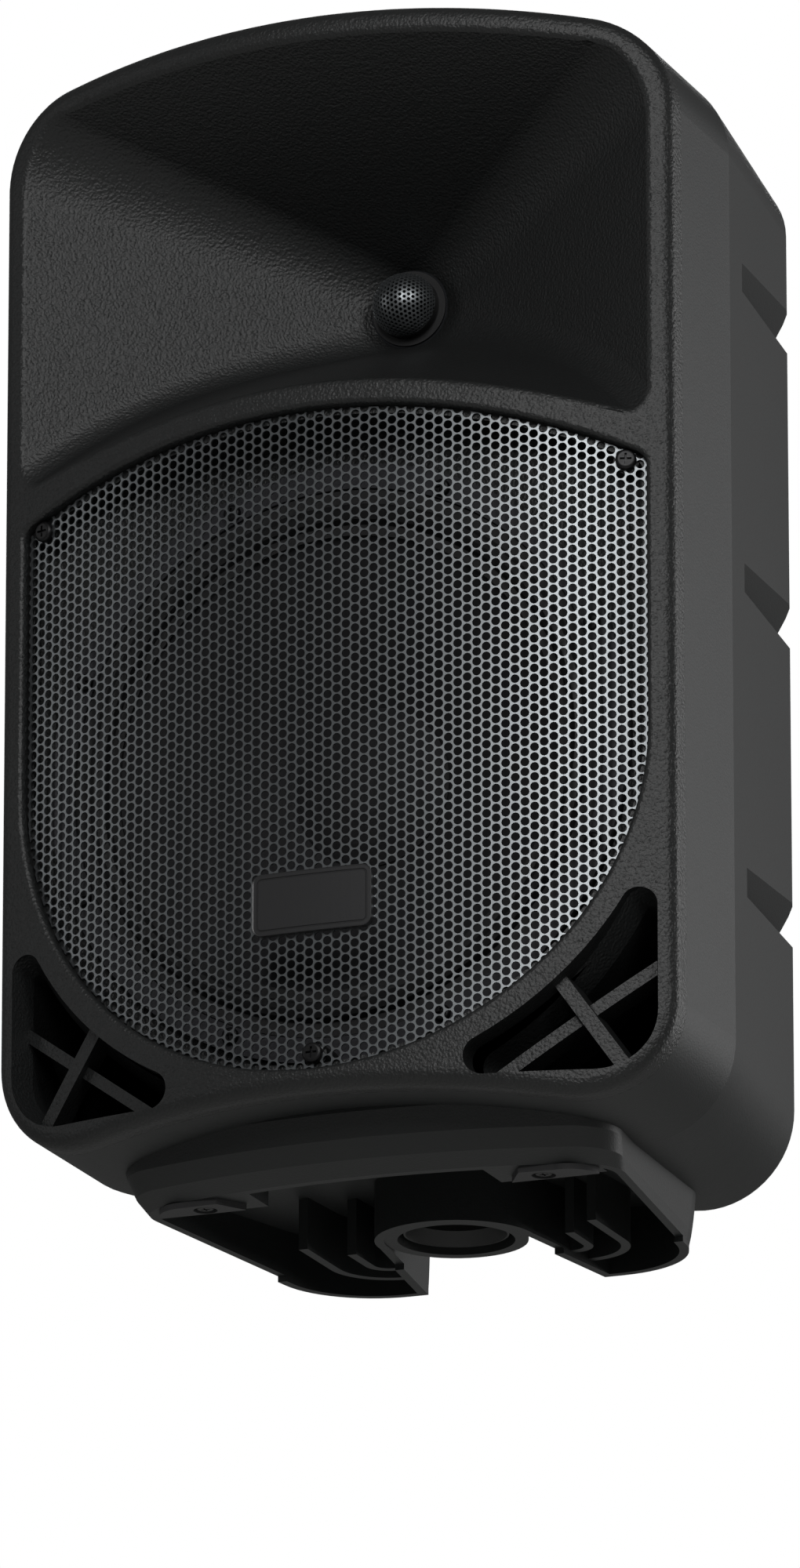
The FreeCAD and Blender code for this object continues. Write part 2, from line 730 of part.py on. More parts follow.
def base_ribs(ceiling):
    """Two curved webs in each lobe's chamber and the pads' bosses."""
    webs = []
    for side in (-1, 1):
        for reach, tail in ((24.0, 104.0), (8.5, 96.0)):
            lobe_centre = Vector(side * (size("lobe_x") - 8), size("lobe_y") - 2, 0)
            ring = Part.makeCylinder(reach + 2, 30, lobe_centre).cut(Part.makeCylinder(reach - 2, 30, lobe_centre))
            quarter = Part.makeBox(60, 60, 30, lobe_centre if side > 0 else lobe_centre - Vector(60, 0, 0))
            straight = Part.makeBox(4, 12 + reach, 30, Vector(lobe_centre.x + side * reach - 2,
                                                              lobe_centre.y - 12 - reach, 0))
            tie = Part.makeBox(14, 4, 30, Vector(lobe_centre.x - 7 - side * 6, lobe_centre.y + reach - 2, 0))
            web = ring.common(quarter).fuse([straight, tie])
            web.translate(Vector(0, 0, size("base_height")))
            webs.append(web.cut(keyhole(0, -5, 60)).cut(ceiling))
        boss = Part.makeBox(46, 24, 30, Vector(side * size("foot_x") - 23, size("foot_y") - 12, size("base_height")))
        inside = base_block(size("base_wall") - 0.5)
        webs.append(boss.common(inside).cut(ceiling))
    y = size("socket_y")
    ring = Part.makeCylinder(size("ring_radius"), 40, Vector(0, y, size("base_height") + 0.5))
    webs.append(ring.cut(Part.makeCylinder(size("ring_radius") - 5.5, 50, Vector(0, y, 0))).cut(ceiling))
    return webs


def kept_inside():
    """What the cavity leaves standing: posts, panel frame, handle pocket, sleeve and groove walls."""
    wall = size("wall")
    kept = [side_groove(side, z, wall - 0.5) for side in (-1, 1) for z in groove_heights()]
    for x, z in boss_spots():
        start = worth(BOSS_JOINT) + size("fit_gap")
        kept.append(Part.makeCylinder(BOSS_RADIUS, 30, Vector(x, start, z), Vector(0, 1, 0)))
    half = size("panel_half") + wall + 2
    low = size("panel_low") - wall - 2
    high = size("panel_high") + wall + 2
    depth = size("panel_recess") + size("panel_sheet") + wall
    kept.append(Part.makeBox(2 * half, depth, high - low, Vector(-half, worth(REAR) - depth, low)))
    half = size("handle_half") + wall
    long = size("handle_pocket") + 2 * wall
    floor = size("cabinet_top") - size("handle_deep") - wall
    kept.append(Part.makeBox(2 * half, long, size("handle_deep") + wall + 5,
                             Vector(-half, size("handle_y") - long / 2, floor)))
    kept.append(Part.makeCylinder(size("pole_bore") + size("socket_wall") + 3, size("socket_depth"),
                                  Vector(0, size("socket_y"), size("base_height") + 3)))
    return kept


def side_groove(side, z, grow):
    """A gill in the side: it widens, deepens and climbs as it runs out through the rear corner."""
    crease = worth(FRONT) + size("crease_depth")
    taper = (size("cabinet_half") - size("rear_half")) / (worth(REAR) - crease)
    ends = []
    for y, low, high in ((crease + size("groove_start") - grow, 0.0, size("groove_mouth")),
                         (worth(REAR) + 6, size("groove_climb"), size("groove_climb") + size("groove_end"))):
        face = size("cabinet_half") - taper * (y - crease)
        low = z + low - grow
        high = z + high + grow
        deep = (high - low - 3) / size("groove_slope")
        ends.append([Vector(side * x, y, level) for x, level in (
            (face + 5, low), (face + 5, high + 5), (face, high), (face - deep, low + 3), (face - deep + 1, low))])
    near, far = ends
    faces = [Part.Face(Part.makePolygon(points + points[:1])) for points in ends]
    for index in range(len(near)):
        after = (index + 1) % len(near)
        faces.append(Part.Face(Part.makePolygon(
            [near[index], near[after], far[after], far[index], near[index]])))
    gill = Part.Solid(Part.Shell(faces))
    return gill if gill.Volume > 0 else gill.reversed()


def groove_heights():
    """Lower front ends of the three gills on each side."""
    return [size("groove_low") + size("groove_pitch") * index for index in range(3)]


def shell_cuts():
    """Panel opening and recess, handle pocket, pole bore and screw holes."""
    wall = size("wall")
    half = size("panel_half") + size("loose_gap")
    low = size("panel_low") - size("loose_gap")
    high = size("panel_high") + size("loose_gap")
    back = worth(PANEL_BACK)
    ledge = size("panel_ledge")
    cuts = [Part.makeBox(2 * half, 60, high - low, Vector(-half, back, low)),
            Part.makeBox(2 * (half - ledge), 60, high - low - 2 * ledge, Vector(ledge - half, back - 30, low + ledge))]
    pocket = Part.makeBox(2 * size("handle_half"), size("handle_pocket"), size("handle_deep") + 20,
                          Vector(-size("handle_half"), size("handle_y") - size("handle_pocket") / 2,
                                 size("cabinet_top") - size("handle_deep")))
    upright = [edge for edge in pocket.Edges if edge.BoundBox.ZLength > 10]
    cuts.append(pocket.makeFillet(8, upright))
    y = size("socket_y")
    cuts.append(Part.makeCylinder(size("pole_bore") + size("socket_wall") + 0.1, size("socket_depth") + 1,
                                  Vector(0, y, size("base_height") + 3)))
    for x, z in boss_spots():
        cuts.append(Part.makeCylinder(1.9, 60, Vector(x, worth(BOSS_JOINT) - 1, z), Vector(0, 1, 0)))
    for x, z in panel_screw_spots():
        cuts.append(Part.makeCylinder(1.55, 14, Vector(x, back - 8, z), Vector(0, 1, 0)))
    for side in (-1, 1):
        cuts.append(Part.makeCylinder(1.8, 16, Vector(side * size("foot_x"), size("foot_y"), -1)))
        cuts.append(Part.makeCylinder(2.1, 30, Vector(side * size("handle_half") - 15, size("handle_y"),
                                                      handle_height()), Vector(1, 0, 0)))
    return cuts


def handle_height():
    """Height of the carrying bar's axis."""
    return size("cabinet_top") - size("handle_drop")


def panel_screw_spots():
    """Ten panel screws round the edge of the amplifier's plate."""
    x = size("panel_half") - size("panel_ledge") / 2 - 0.4
    low = size("panel_low") + size("panel_ledge") / 2
    high = size("panel_high") - size("panel_ledge") / 2
    spots = [(side * x, low + (high - low) * share) for side in (-1, 1) for share in (0, 1 / 3, 2 / 3, 1)]
    return spots + [(0.0, low), (0.0, high)]


shaped("cabinet_shell", make_cabinet_shell())


# ---------------------------------------------------------------- front dress: grille, screws, badge
def make_grille():
    """Steel sheet bent to the bow; its perforation is left to the finish."""
    sheet_metal = slab(lambda y: grille_outline(y, size("loose_gap")), 0.0, -size("grille_sheet"))
    holes = []
    for x, z in grille_screw_spots():
        hole = Part.makeCylinder(2.1, 12, Vector(0, -6, 0), Vector(0, 1, 0))
        hole.Placement = on_bow(x, z, 0)
        holes.append(hole)
    return sheet_metal.cut(holes)


def make_badge():
    """A blank plate with round corners, bent to the bow."""
    half, height, radius = size("badge_half"), size("badge_high"), 7.0
    plate = Part.makeBox(2 * half, 40, height, Vector(-half, worth(FRONT) - 10, size("badge_low")))
    plate = plate.makeFillet(radius, [edge for edge in plate.Edges if edge.BoundBox.YLength > 10])
    return plate.common(bowed(size("badge_thick") + 0.1)).cut(bowed(0.1))


shaped("woofer_grille", make_grille())
shaped("grille_screws", repeated(screw(4.35, 2.6, 1.7, 12.0),
                                 [on_bow(x, z, 0) for x, z in grille_screw_spots()]))
shaped("badge_plate", make_badge())


# ---------------------------------------------------------------- woofer
def holes_for(name, spots, radius, start, length):
    """A tool of equal holes along the depth axis."""
    item = doc.addObject("Part::Feature", name)
    item.Shape = Part.makeCompound([Part.makeCylinder(radius, length, Vector(x, start, z), Vector(0, 1, 0))
                                    for x, z in spots])
    return item


def basket_windows():
    """Round windows in the basket's cone, in three crossing pairs."""
    middle_depth = worth(SEAT) + size("basket_depth") * 0.5
    axis = Vector(0, middle_depth, size("grille_axis"))
    bars = []
    for angle in (30, 90, 150):
        way = Vector(math.cos(math.radians(angle)), 0, math.sin(math.radians(angle)))
        bars.append(Part.makeCylinder(15, 300, axis - way * 150, way))
    item = doc.addObject("Part::Feature", "window_tool")
    item.Shape = Part.makeCompound(bars)
    return item


WOOFER = ("0", SEAT, "grille_axis")
FORMER = "(coil_radius + 0.4)"                                 # outside of the voice coil's former
CONE_NECK = "(cone_rise - frame_thick)"
basket = turned("woofer_basket", [
    ("frame_radius", "-frame_thick"), ("frame_radius", "0"), ("basket_radius", "0"),
    ("magnet_radius + 4", "basket_depth"), ("coil_radius + 8", "basket_depth"),
    ("coil_radius + 8", "basket_depth - 4"), ("magnet_radius + 4 - basket_wall", "basket_depth - 4"),
    ("basket_radius - basket_wall", "0"), ("basket_radius - basket_wall", "-frame_thick")], *WOOFER)
frame_holes = holes_for("frame_hole_tool", woofer_screw_spots(), 2.05, worth(SEAT) - 10, 20)
keep("woofer_basket", cut("woofer_basket", basket, frame_holes, basket_windows()))
keep("frame_gasket", cut("frame_gasket", turned("frame_gasket", [
    ("basket_radius + 5", "-frame_thick - 2"), ("frame_radius", "-frame_thick - 2"),
    ("frame_radius", "-frame_thick"), ("basket_radius + 5", "-frame_thick")], *WOOFER),
    holes_for("gasket_hole_tool", woofer_screw_spots(), 2.05, worth(SEAT) - 10, 20)))
keep("woofer_cone", turned("woofer_cone", [
    (FORMER, CONE_NECK), (FORMER, CONE_NECK + " + cone_sheet * 1.4"),
    ("cone_radius", "cone_sheet * 1.4 - frame_thick"), ("cone_radius", "-frame_thick")], *WOOFER))
keep("cone_surround", turned("cone_surround", [
    ("cone_radius - 3", "-frame_thick - 1"), ("cone_radius + 1.5", "-frame_thick - 1"),
    ("cone_radius + 3", "-frame_thick - 4.5"), ("cone_radius + 6", "-frame_thick - 6.5"),
    ("cone_radius + 9", "-frame_thick - 4.5"), ("cone_radius + 10.5", "-frame_thick - 1"),
    ("basket_radius + 4.5", "-frame_thick - 1"), ("basket_radius + 4.5", "-frame_thick"),
    ("cone_radius + 9.8", "-frame_thick"), ("cone_radius + 8.2", "-frame_thick - 3.8"),
    ("cone_radius + 6", "-frame_thick - 5.5"), ("cone_radius + 3.8", "-frame_thick - 3.8"),
    ("cone_radius + 2.2", "-frame_thick"), ("cone_radius - 3", "-frame_thick")], *WOOFER))
DUST_SEAT = "(%s - (dust_radius - %s) * cone_rise / (cone_radius - %s))" % (CONE_NECK, FORMER, FORMER)
keep("dust_cap", turned("dust_cap", [
    ("0", DUST_SEAT + " - 10"), ("dust_radius * 0.4", DUST_SEAT + " - 8.8"),
    ("dust_radius * 0.75", DUST_SEAT + " - 5.2"), ("dust_radius", DUST_SEAT + " - 0.9"),
    ("dust_radius", DUST_SEAT + " - 0.05"), ("dust_radius - 1.5", DUST_SEAT + " - 0.05"),
    ("dust_radius * 0.75 - 0.4", DUST_SEAT + " - 4.2"), ("dust_radius * 0.4", DUST_SEAT + " - 7.7"),
    ("0", DUST_SEAT + " - 8.9")], *WOOFER))
keep("voice_coil", turned("voice_coil", [
    ("coil_radius", CONE_NECK + " - 1"), (FORMER, CONE_NECK + " - 1"),
    (FORMER, "basket_depth + 9"), ("coil_radius", "basket_depth + 9")], *WOOFER))
keep("spider_ring", turned("spider_ring", [
    ("magnet_radius - 8", "basket_depth - 11"), ("magnet_radius - 1", "basket_depth - 11"),
    ("magnet_radius - 1", "basket_depth - 4"), ("magnet_radius - 8", "basket_depth - 4")], *WOOFER))


def spider_profile():
    """Corrugated disc: equal waves between the former and the ring."""
    waves = 5
    inner = FORMER
    reach = "(magnet_radius - 1 - %s)" % FORMER
    upper = []
    for index in range(2 * waves + 1):
        lift = 1.5 if index % 2 else 0.0
        upper.append(("%s + %s * %s" % (inner, reach, index / (2 * waves)),
                      "basket_depth - 12 - %s" % lift))
    lower = [(radius, height + " + 1") for radius, height in reversed(upper)]
    return upper + lower


keep("cone_spider", turned("cone_spider", spider_profile(), *WOOFER))
keep("woofer_top_plate", turned("woofer_top_plate", [
    (FORMER + " + coil_gap", "basket_depth"), ("magnet_radius - 5", "basket_depth"),
    ("magnet_radius - 5", "basket_depth + plate_thick"), (FORMER + " + coil_gap", "basket_depth + plate_thick")],
    *WOOFER))
keep("woofer_magnet", turned("woofer_magnet", [
    ("coil_radius + 9", "basket_depth + plate_thick"), ("magnet_radius", "basket_depth + plate_thick"),
    ("magnet_radius", "basket_depth + plate_thick + magnet_thick"),
    ("coil_radius + 9", "basket_depth + plate_thick + magnet_thick")], *WOOFER))
keep("woofer_yoke", turned("woofer_yoke", [
    ("0", "basket_depth"), ("pole_piece", "basket_depth"),
    ("pole_piece", "basket_depth + plate_thick + magnet_thick"),
    ("magnet_radius - 5", "basket_depth + plate_thick + magnet_thick"),
    ("magnet_radius - 5", "basket_depth + 2 * plate_thick + magnet_thick"),
    ("0", "basket_depth + 2 * plate_thick + magnet_thick")], *WOOFER))
shaped("woofer_screws", repeated(screw(3.6, 2.4, 1.95, 16.0), [
    Vector(x, worth(SEAT) - size("frame_thick") - 2, z) for x, z in woofer_screw_spots()]))


# ---------------------------------------------------------------- high-frequency driver
DRIVER = ("0", THROAT, "throat_height")
driver_holes = holes_for("driver_hole_tool", driver_screw_spots(), 2.0, worth(THROAT) - 2, 30)
keep("driver_throat_block", cut("driver_throat_block", turned("driver_throat_block", [
    ("driver_bore", "0"), ("horn_flange", "0"), ("horn_flange", "5"), ("driver_radius", "5"),
    ("driver_radius", "16"), ("dome_radius + 0.2", "16"), ("dome_radius + 0.2", "32"),
    ("driver_bore", "32")], *DRIVER), driver_holes))
keep("driver_magnet", turned("driver_magnet", [
    ("dome_radius + 7", "16"), ("driver_radius - 4", "16"), ("driver_radius - 4", "28"),
    ("dome_radius + 7", "28")], *DRIVER))
keep("driver_rear_plate", turned("driver_rear_plate", [
    ("dome_radius + 1.9", "28"), ("driver_radius", "28"), ("driver_radius", "32"),
    ("dome_radius + 1.9", "32")], *DRIVER))
keep("driver_diaphragm", turned("driver_diaphragm", [
    ("dome_radius + 0.8", "27"), ("dome_radius + 1.3", "27"), ("dome_radius + 1.3", "33"),
    ("dome_radius + 7.5", "33"), ("dome_radius + 7.5", "33.6"), ("dome_radius", "34.4"),
    ("dome_radius * 0.7", "39.4"), ("0", "42"), ("0", "41.2"), ("dome_radius * 0.68", "38.6"),
    ("dome_radius - 0.4", "33.6"), ("dome_radius + 0.8", "33")], *DRIVER))
keep("diaphragm_ring", turned("diaphragm_ring", [
    ("dome_radius + 8", "32"), ("driver_radius", "32"), ("driver_radius", "34.5"),
    ("dome_radius + 8", "34.5")], *DRIVER))
keep("driver_cap", turned("driver_cap", [
    ("driver_radius - 4", "34.5"), ("driver_radius", "34.5"), ("driver_radius", "54"),
    ("driver_radius - 3", "56"), ("0", "56"), ("0", "53"), ("driver_radius - 4", "53")], *DRIVER))
shaped("driver_bolts", repeated(screw(3.4, 2.4, 1.9, 12.0), [
    Vector(x, worth(THROAT) - size("horn_flange_thick"), z) for x, z in driver_screw_spots()]))


def mesh_profile():
    """Thin dome on a short skirt, with a lip that the horn clamps."""
    angles = [math.radians(15 * step) for step in range(7)]
    outside = [("mesh_radius * %.5f" % math.cos(a), "-5 - mesh_radius * %.5f" % math.sin(a)) for a in angles]
    inside = [("(mesh_radius - 0.8) * %.5f" % math.cos(a), "-5 - (mesh_radius - 0.8) * %.5f" % math.sin(a))
              for a in reversed(angles)]
    outside[-1] = ("0", "-5 - mesh_radius")
    inside[0] = ("0", "-4.2 - mesh_radius")
    return [("throat_radius - 0.2", "0"), ("throat_radius - 0.2", "-1"), ("mesh_radius", "-1")] \
        + outside + inside + [("mesh_radius - 0.8", "0")]


keep("tweeter_mesh", turned("tweeter_mesh", mesh_profile(), *DRIVER))


# ---------------------------------------------------------------- base: socket and feet
SOCKET_LOW = "(base_height + 3)"
keep("pole_socket", turned("pole_socket", [
    ("pole_bore", "6"), ("pole_bore + socket_wall * 0.8", "0"), ("pole_bore + socket_wall", "0"),
    ("pole_bore + socket_wall", "socket_depth"), ("0", "socket_depth"), ("0", "socket_depth - 4"),
    ("pole_bore", "socket_depth - 4")], "0", "socket_y", SOCKET_LOW, upright=True))


def make_foot(side):
    """Rubber pad whose outer front corner is rounded, with a sunk screw hole."""
    def at(x, y):
        return Vector(side * (size("foot_x") + x), size("foot_y") + y, 0)

    edge = Part.Wire([Part.makeLine(at(-16, 5.5), at(22, 5.5)),
                      Part.Arc(at(22, 5.5), at(17.5, -3.5), at(7, -7)).toShape(),
                      Part.makeLine(at(7, -7), at(-8, -8)), Part.makeLine(at(-8, -8), at(-16, 5.5))])
    pad = Part.Face(edge).extrude(Vector(0, 0, size("base_height")))
    centre = at(0, 0)
    pad = pad.cut([Part.makeCylinder(5.0, 1.6, centre), Part.makeCylinder(1.9, 8, centre)])
    return pad


for side, name in ((-1, "foot_pad_left"), (1, "foot_pad_right")):
    shaped(name, make_foot(side))
upward = FreeCAD.Rotation(Vector(1, 0, 0), 90)
shaped("foot_screws", repeated(screw(3.6, 1.2, 1.7, 10.0), [
    FreeCAD.Placement(Vector(side * size("foot_x"), size("foot_y"), 1.6), upward) for side in (-1, 1)]))


# ---------------------------------------------------------------- carrying handle
def make_handle():
    """Rounded bar across the top pocket, with a blind hole in each end."""
    deep = size("handle_thick")
    bar = Part.makeBox(2 * size("handle_half"), size("handle_grip"), deep,
                       Vector(-size("handle_half"), size("handle_y") - size("handle_grip") / 2,
                              handle_height() - deep / 2))
    bar = bar.makeFillet(6.0, [edge for edge in bar.Edges if edge.BoundBox.XLength > 10])
    return bar.cut([Part.makeCylinder(1.9, 16, Vector(side * size("handle_half"), size("handle_y"), handle_height()),
                                      Vector(-side, 0, 0)) for side in (-1, 1)])


shaped("carry_handle", make_handle())
shaped("handle_screws", repeated(screw(3.8, 2.4, 1.8, 18.0), [
    FreeCAD.Placement(Vector(side * (size("handle_half") + size("wall")), size("handle_y"), handle_height()),
                      FreeCAD.Rotation(Vector(0, 0, 1), 90 * side)) for side in (-1, 1)]))
forward = FreeCAD.Rotation(Vector(0, 0, 1), 180)
post_end = worth(BOSS_JOINT) + size("fit_gap") + 30
shaped("cabinet_screws", repeated(screw(3.6, 2.4, 1.5, 40.0), [
    FreeCAD.Placement(Vector(x, post_end, z), forward) for x, z in boss_spots()]))
keep("acoustic_foam", block("acoustic_foam_block", "180", "50", "14", "-90", "-25", "cabinet_top - wall - 24"))


# ---------------------------------------------------------------- amplifier panel
KNOBS = {"level_knob_a": (-50, 30), "level_knob_b": (-16, 30), "low_tone_knob": (18, 30),
         "high_tone_knob": (50, 30)}
BUTTONS = {"line_button_a": (-50, 54), "line_button_b": (-16, 54)}
COMBOS = {"combo_socket_a": (-50, 84), "combo_socket_b": (-16, 84)}
LINK = (22, 84)
LAMPS = ((38, 54), (48, 54), (58, 54))
INLET = (-38, 132)
ROCKER = (20, 132)
SINK_LOW = 10
SINK_HIGH = 85


def down(drop):
    """Height on the panel, as a distance below its upper edge."""
    return "(panel_high - %s)" % drop


def at_panel(x, drop, y):
    return (str(x), y, down(drop))


plate = block("panel_blank", "2 * panel_half", "panel_sheet", "panel_high - panel_low",
              "-panel_half", PANEL_BACK, "panel_low")
deep = "panel_sheet + 4"
before = PANEL_BACK + " - 2"
openings = []
for name, (x, drop) in KNOBS.items():
    openings.append(cylinder(name + "_hole", "spindle_radius + moving_gap", deep, *at_panel(x, drop, before)))
for name, (x, drop) in list(COMBOS.items()) + [("link_socket", LINK)]:
    openings.append(cylinder(name + "_hole", "socket_hole + 0.1", deep, *at_panel(x, drop, before)))
for name, (x, drop) in COMBOS.items():
    openings.append(block(name + "_slot", "8.6", deep, "5.2", "%s - 4.3" % x, before, down(drop) + " + 10.6"))
for name, (x, drop) in BUTTONS.items():
    openings.append(block(name + "_hole", "2 * (button_half + moving_gap)", deep, "2 * (button_half + moving_gap)",
                          "%s - button_half - moving_gap" % x, before,
                          down(drop) + " - button_half - moving_gap"))
for index, (x, drop) in enumerate(LAMPS):
    openings.append(cylinder("lamp_hole_%d" % index, "1.55", deep, *at_panel(x, drop, before)))
openings.append(block("inlet_hole", "28", deep, "20.4", "%s - 14" % INLET[0], before, down(INLET[1]) + " - 10.2"))
openings.append(block("rocker_hole", "17.4", deep, "24.4", "%s - 8.7" % ROCKER[0], before,
                      down(ROCKER[1]) + " - 12.2"))
openings.append(holes_for("panel_hole_tool", panel_screw_spots(), 1.85, worth(PANEL_BACK) - 2, 6))
keep("amp_panel", cut("amp_panel", plate, *openings))
shaped("panel_screws", repeated(screw(3.2, 2.0, 1.5, 8.0), [
    FreeCAD.Placement(Vector(x, worth(PANEL_FACE), z), forward) for x, z in panel_screw_spots()]))

fins = [block("sink_base", "110", "3", "%d" % (SINK_HIGH - SINK_LOW), "-55", PANEL_FACE, "panel_low + %d" % SINK_LOW)]
for index in range(12):
    fins.append(block("sink_fin_%d" % index, "2", "panel_recess - 5", "%d" % (SINK_HIGH - SINK_LOW),
                      "%.3f" % (-55 + 108 * index / 11), PANEL_FACE + " + 2", "panel_low + %d" % SINK_LOW))
keep("heatsink", join("heatsink", *fins))

for name, (x, drop) in KNOBS.items():
    grip = turned(name, [
        ("0", "-panel_sheet - 6"), ("spindle_radius", "-panel_sheet - 6"), ("spindle_radius", "0.8"),
        ("knob_radius", "0.8"), ("knob_radius - 0.6", "knob_height - 1.5"),
        ("knob_radius - 2", "knob_height"), ("0", "knob_height")], *at_panel(x, drop, PANEL_FACE))
    pointer = block(name + "_pointer", "1.2", "2", "knob_radius", "%s - 0.6" % x,
                    PANEL_FACE + " + knob_height - 1", down(drop) + " + 1")
    keep(name, cut(name, grip, pointer))

cases = []
for name, (x, drop) in KNOBS.items():
    case = block(name + "_case", "16", "9", "16", "%s - 8" % x, PANEL_BACK + " - 9", down(drop) + " - 8")
    bore = cylinder(name + "_bore", "spindle_radius + moving_gap", "12", *at_panel(x, drop, PANEL_BACK + " - 8"))
    cases.append(cut(name + "_case", case, bore))
pots = doc.addObject("Part::Compound", "potentiometer_group")
pots.Links = cases
keep("potentiometers", pots)

cases = []
for name, (x, drop) in BUTTONS.items():
    keep(name, block(name + "_cap", "2 * button_half", "panel_sheet + 7", "2 * button_half",
                     "%s - button_half" % x, PANEL_BACK + " - 3", down(drop) + " - button_half"))
    case = block(name + "_case", "12", "12", "12", "%s - 6" % x, PANEL_BACK + " - 12", down(drop) + " - 6")
    well = block(name + "_well", "2 * (button_half + moving_gap)", "12", "2 * (button_half + moving_gap)",
                 "%s - button_half - moving_gap" % x, PANEL_BACK + " - 7",
                 down(drop) + " - button_half - moving_gap")
    cases.append(cut(name + "_case", case, well))
switches = doc.addObject("Part::Compound", "switch_group")
switches.Links = cases
keep("button_switches", switches)

for name, (x, drop) in COMBOS.items():
    shell = turned(name, [
        ("0", "-24"), ("socket_hole", "-24"), ("socket_hole", "0"), ("socket_hole + 3.5", "0"),
        ("socket_hole + 3.5", "1.5"), ("socket_hole - 2.2", "1.5"), ("socket_hole - 2.2", "-18"),
        ("socket_hole - 4.4", "-18"), ("socket_hole - 4.4", "-1"), ("3.3", "-1"), ("3.3", "-17"),
        ("0", "-17")], *at_panel(x, drop, PANEL_FACE))
    slot = block(name + "_latch_slot", "8.6", "12", "5.2", "%s - 4.3" % x, PANEL_FACE + " - 8",
                 down(drop) + " + 12")
    contacts = [cylinder("%s_contact_%d" % (name, turn), "1.1", "14", "%s + %.3f" % (x, 5.4 * math.cos(angle)),
                         PANEL_FACE + " - 14", down(drop) + " + %.3f" % (5.4 * math.sin(angle)))
                for turn, angle in enumerate(math.radians(a) for a in (90, 210, 330))]
    keep(name, cut(name, shell, slot, *contacts))
    keep(name.replace("socket", "latch"), block(name + "_tab", "8", "7", "2.8", "%s - 4" % x,
                                                PANEL_FACE + " - 4", down(drop) + " + 12.4"))

shell = turned("link_socket", [
    ("0", "-20"), ("socket_hole", "-20"), ("socket_hole", "0"), ("socket_hole + 3.5", "0"),
    ("socket_hole + 3.5", "1.5"), ("socket_hole - 2.2", "1.5"), ("socket_hole - 2.2", "-16"),
    ("0", "-16")], *at_panel(LINK[0], LINK[1], PANEL_FACE))
pins = [cylinder("link_pin_%d" % turn, "1.2", "14", "%s + %.3f" % (LINK[0], 4.8 * math.cos(angle)),
                 PANEL_FACE + " - 17", down(LINK[1]) + " + %.3f" % (4.8 * math.sin(angle)))
        for turn, angle in enumerate(math.radians(a) for a in (90, 210, 330))]
keep("link_socket", join("link_socket", shell, *pins))

flange = block("inlet_flange", "36", "2", "28", "%s - 18" % INLET[0], PANEL_FACE, down(INLET[1]) + " - 14")
housing = block("inlet_housing", "27.6", "24", "20", "%s - 13.8" % INLET[0], PANEL_FACE + " - 22",
                down(INLET[1]) + " - 10")
cavity = block("inlet_cavity", "24.4", "24", "16.8", "%s - 12.2" % INLET[0], PANEL_FACE + " - 18",
               down(INLET[1]) + " - 8.4")
body = cut("inlet_body", join("inlet_outer", flange, housing), cavity)
blades = [block("inlet_blade_%d" % index, "2", "12", "4", "%s + %s" % (INLET[0] - 1, x), PANEL_FACE + " - 19",
                down(INLET[1]) + " - 2 + %s" % z) for index, (x, z) in enumerate(((-7, -1), (0, 2.5), (7, -1)))]
keep("mains_inlet", join("mains_inlet", body, *blades))

bezel = block("rocker_bezel", "21", "2", "28", "%s - 10.5" % ROCKER[0], PANEL_FACE, down(ROCKER[1]) + " - 14")
housing = block("rocker_housing", "17", "18", "24", "%s - 8.5" % ROCKER[0], PANEL_FACE + " - 16",
                down(ROCKER[1]) + " - 12")
cavity = block("rocker_cavity", "14", "18", "21", "%s - 7" % ROCKER[0], PANEL_FACE + " - 13",
               down(ROCKER[1]) + " - 10.5")
keep("rocker_frame", cut("rocker_frame", join("rocker_outer", bezel, housing), cavity))
keep("power_rocker", block("power_rocker_cap", "13", "8", "19", "%s - 6.5" % ROCKER[0], PANEL_FACE + " - 5",
                           down(ROCKER[1]) + " - 9.5"))

lamps = doc.addObject("Part::Compound", "lamp_group")
lamps.Links = [turned("lamp_%d" % index, [
    ("0", "-5"), ("1.5", "-5"), ("1.5", "0.6"), ("1.1", "1.4"), ("0", "1.8")],
    *at_panel(x, drop, PANEL_FACE)) for index, (x, drop) in enumerate(LAMPS)]
keep("indicator_lamps", lamps)


# ---------------------------------------------------------------- electronics behind the panel
BOARD_Y = PANEL_BACK + " - board_stand - board_sheet"
INPUT_Y = PANEL_BACK + " - 30 - board_sheet"
keep("amplifier_board", block("amplifier_board_sheet", "130", "board_sheet", "90", "-65", BOARD_Y, "panel_low + 8"))
keep("input_board", block("input_board_sheet", "130", "board_sheet", "112", "-65", INPUT_Y, "panel_high - 116"))
spacers = []
for x in (-60, 60):
    for index, drop in enumerate(("panel_low + 12", "panel_low + 94")):
        spacers.append(cylinder("amp_spacer_%d_%d" % (x + 60, index), "3", "board_stand", str(x),
                                PANEL_BACK + " - board_stand", drop))
    for index, drop in enumerate(("panel_high - 10", "panel_high - 112")):
        spacers.append(cylinder("input_spacer_%d_%d" % (x + 60, index), "3", "30", str(x + (4 if x < 0 else -2)),
                                PANEL_BACK + " - 30", drop))
spacer_group = doc.addObject("Part::Compound", "spacer_group")
spacer_group.Links = spacers
keep("board_spacers", spacer_group)
cans = [cylinder("capacitor_%d" % index, "9", "28", str(x), BOARD_Y + " - 28", "panel_low + 30 + %s" % z)
        for index, (x, z) in enumerate(((-50, 0), (-28, 0), (-50, 24), (-28, 24)))]
can_group = doc.addObject("Part::Compound", "capacitor_group")
can_group.Links = cans
keep("filter_capacitors", can_group)
keep("power_transformer", turned("power_transformer", [
    ("9", "0"), ("28", "0"), ("30", "-3"), ("30", "-27"), ("28", "-30"), ("9", "-30")],
    "28", BOARD_Y, "panel_low + 52"))
tabs = [block("transistor_%d" % index, "15", "5", "20", str(x), PANEL_BACK + " - 5", "panel_low + 40")
        for index, x in enumerate((-48, -20, 8, 36))]
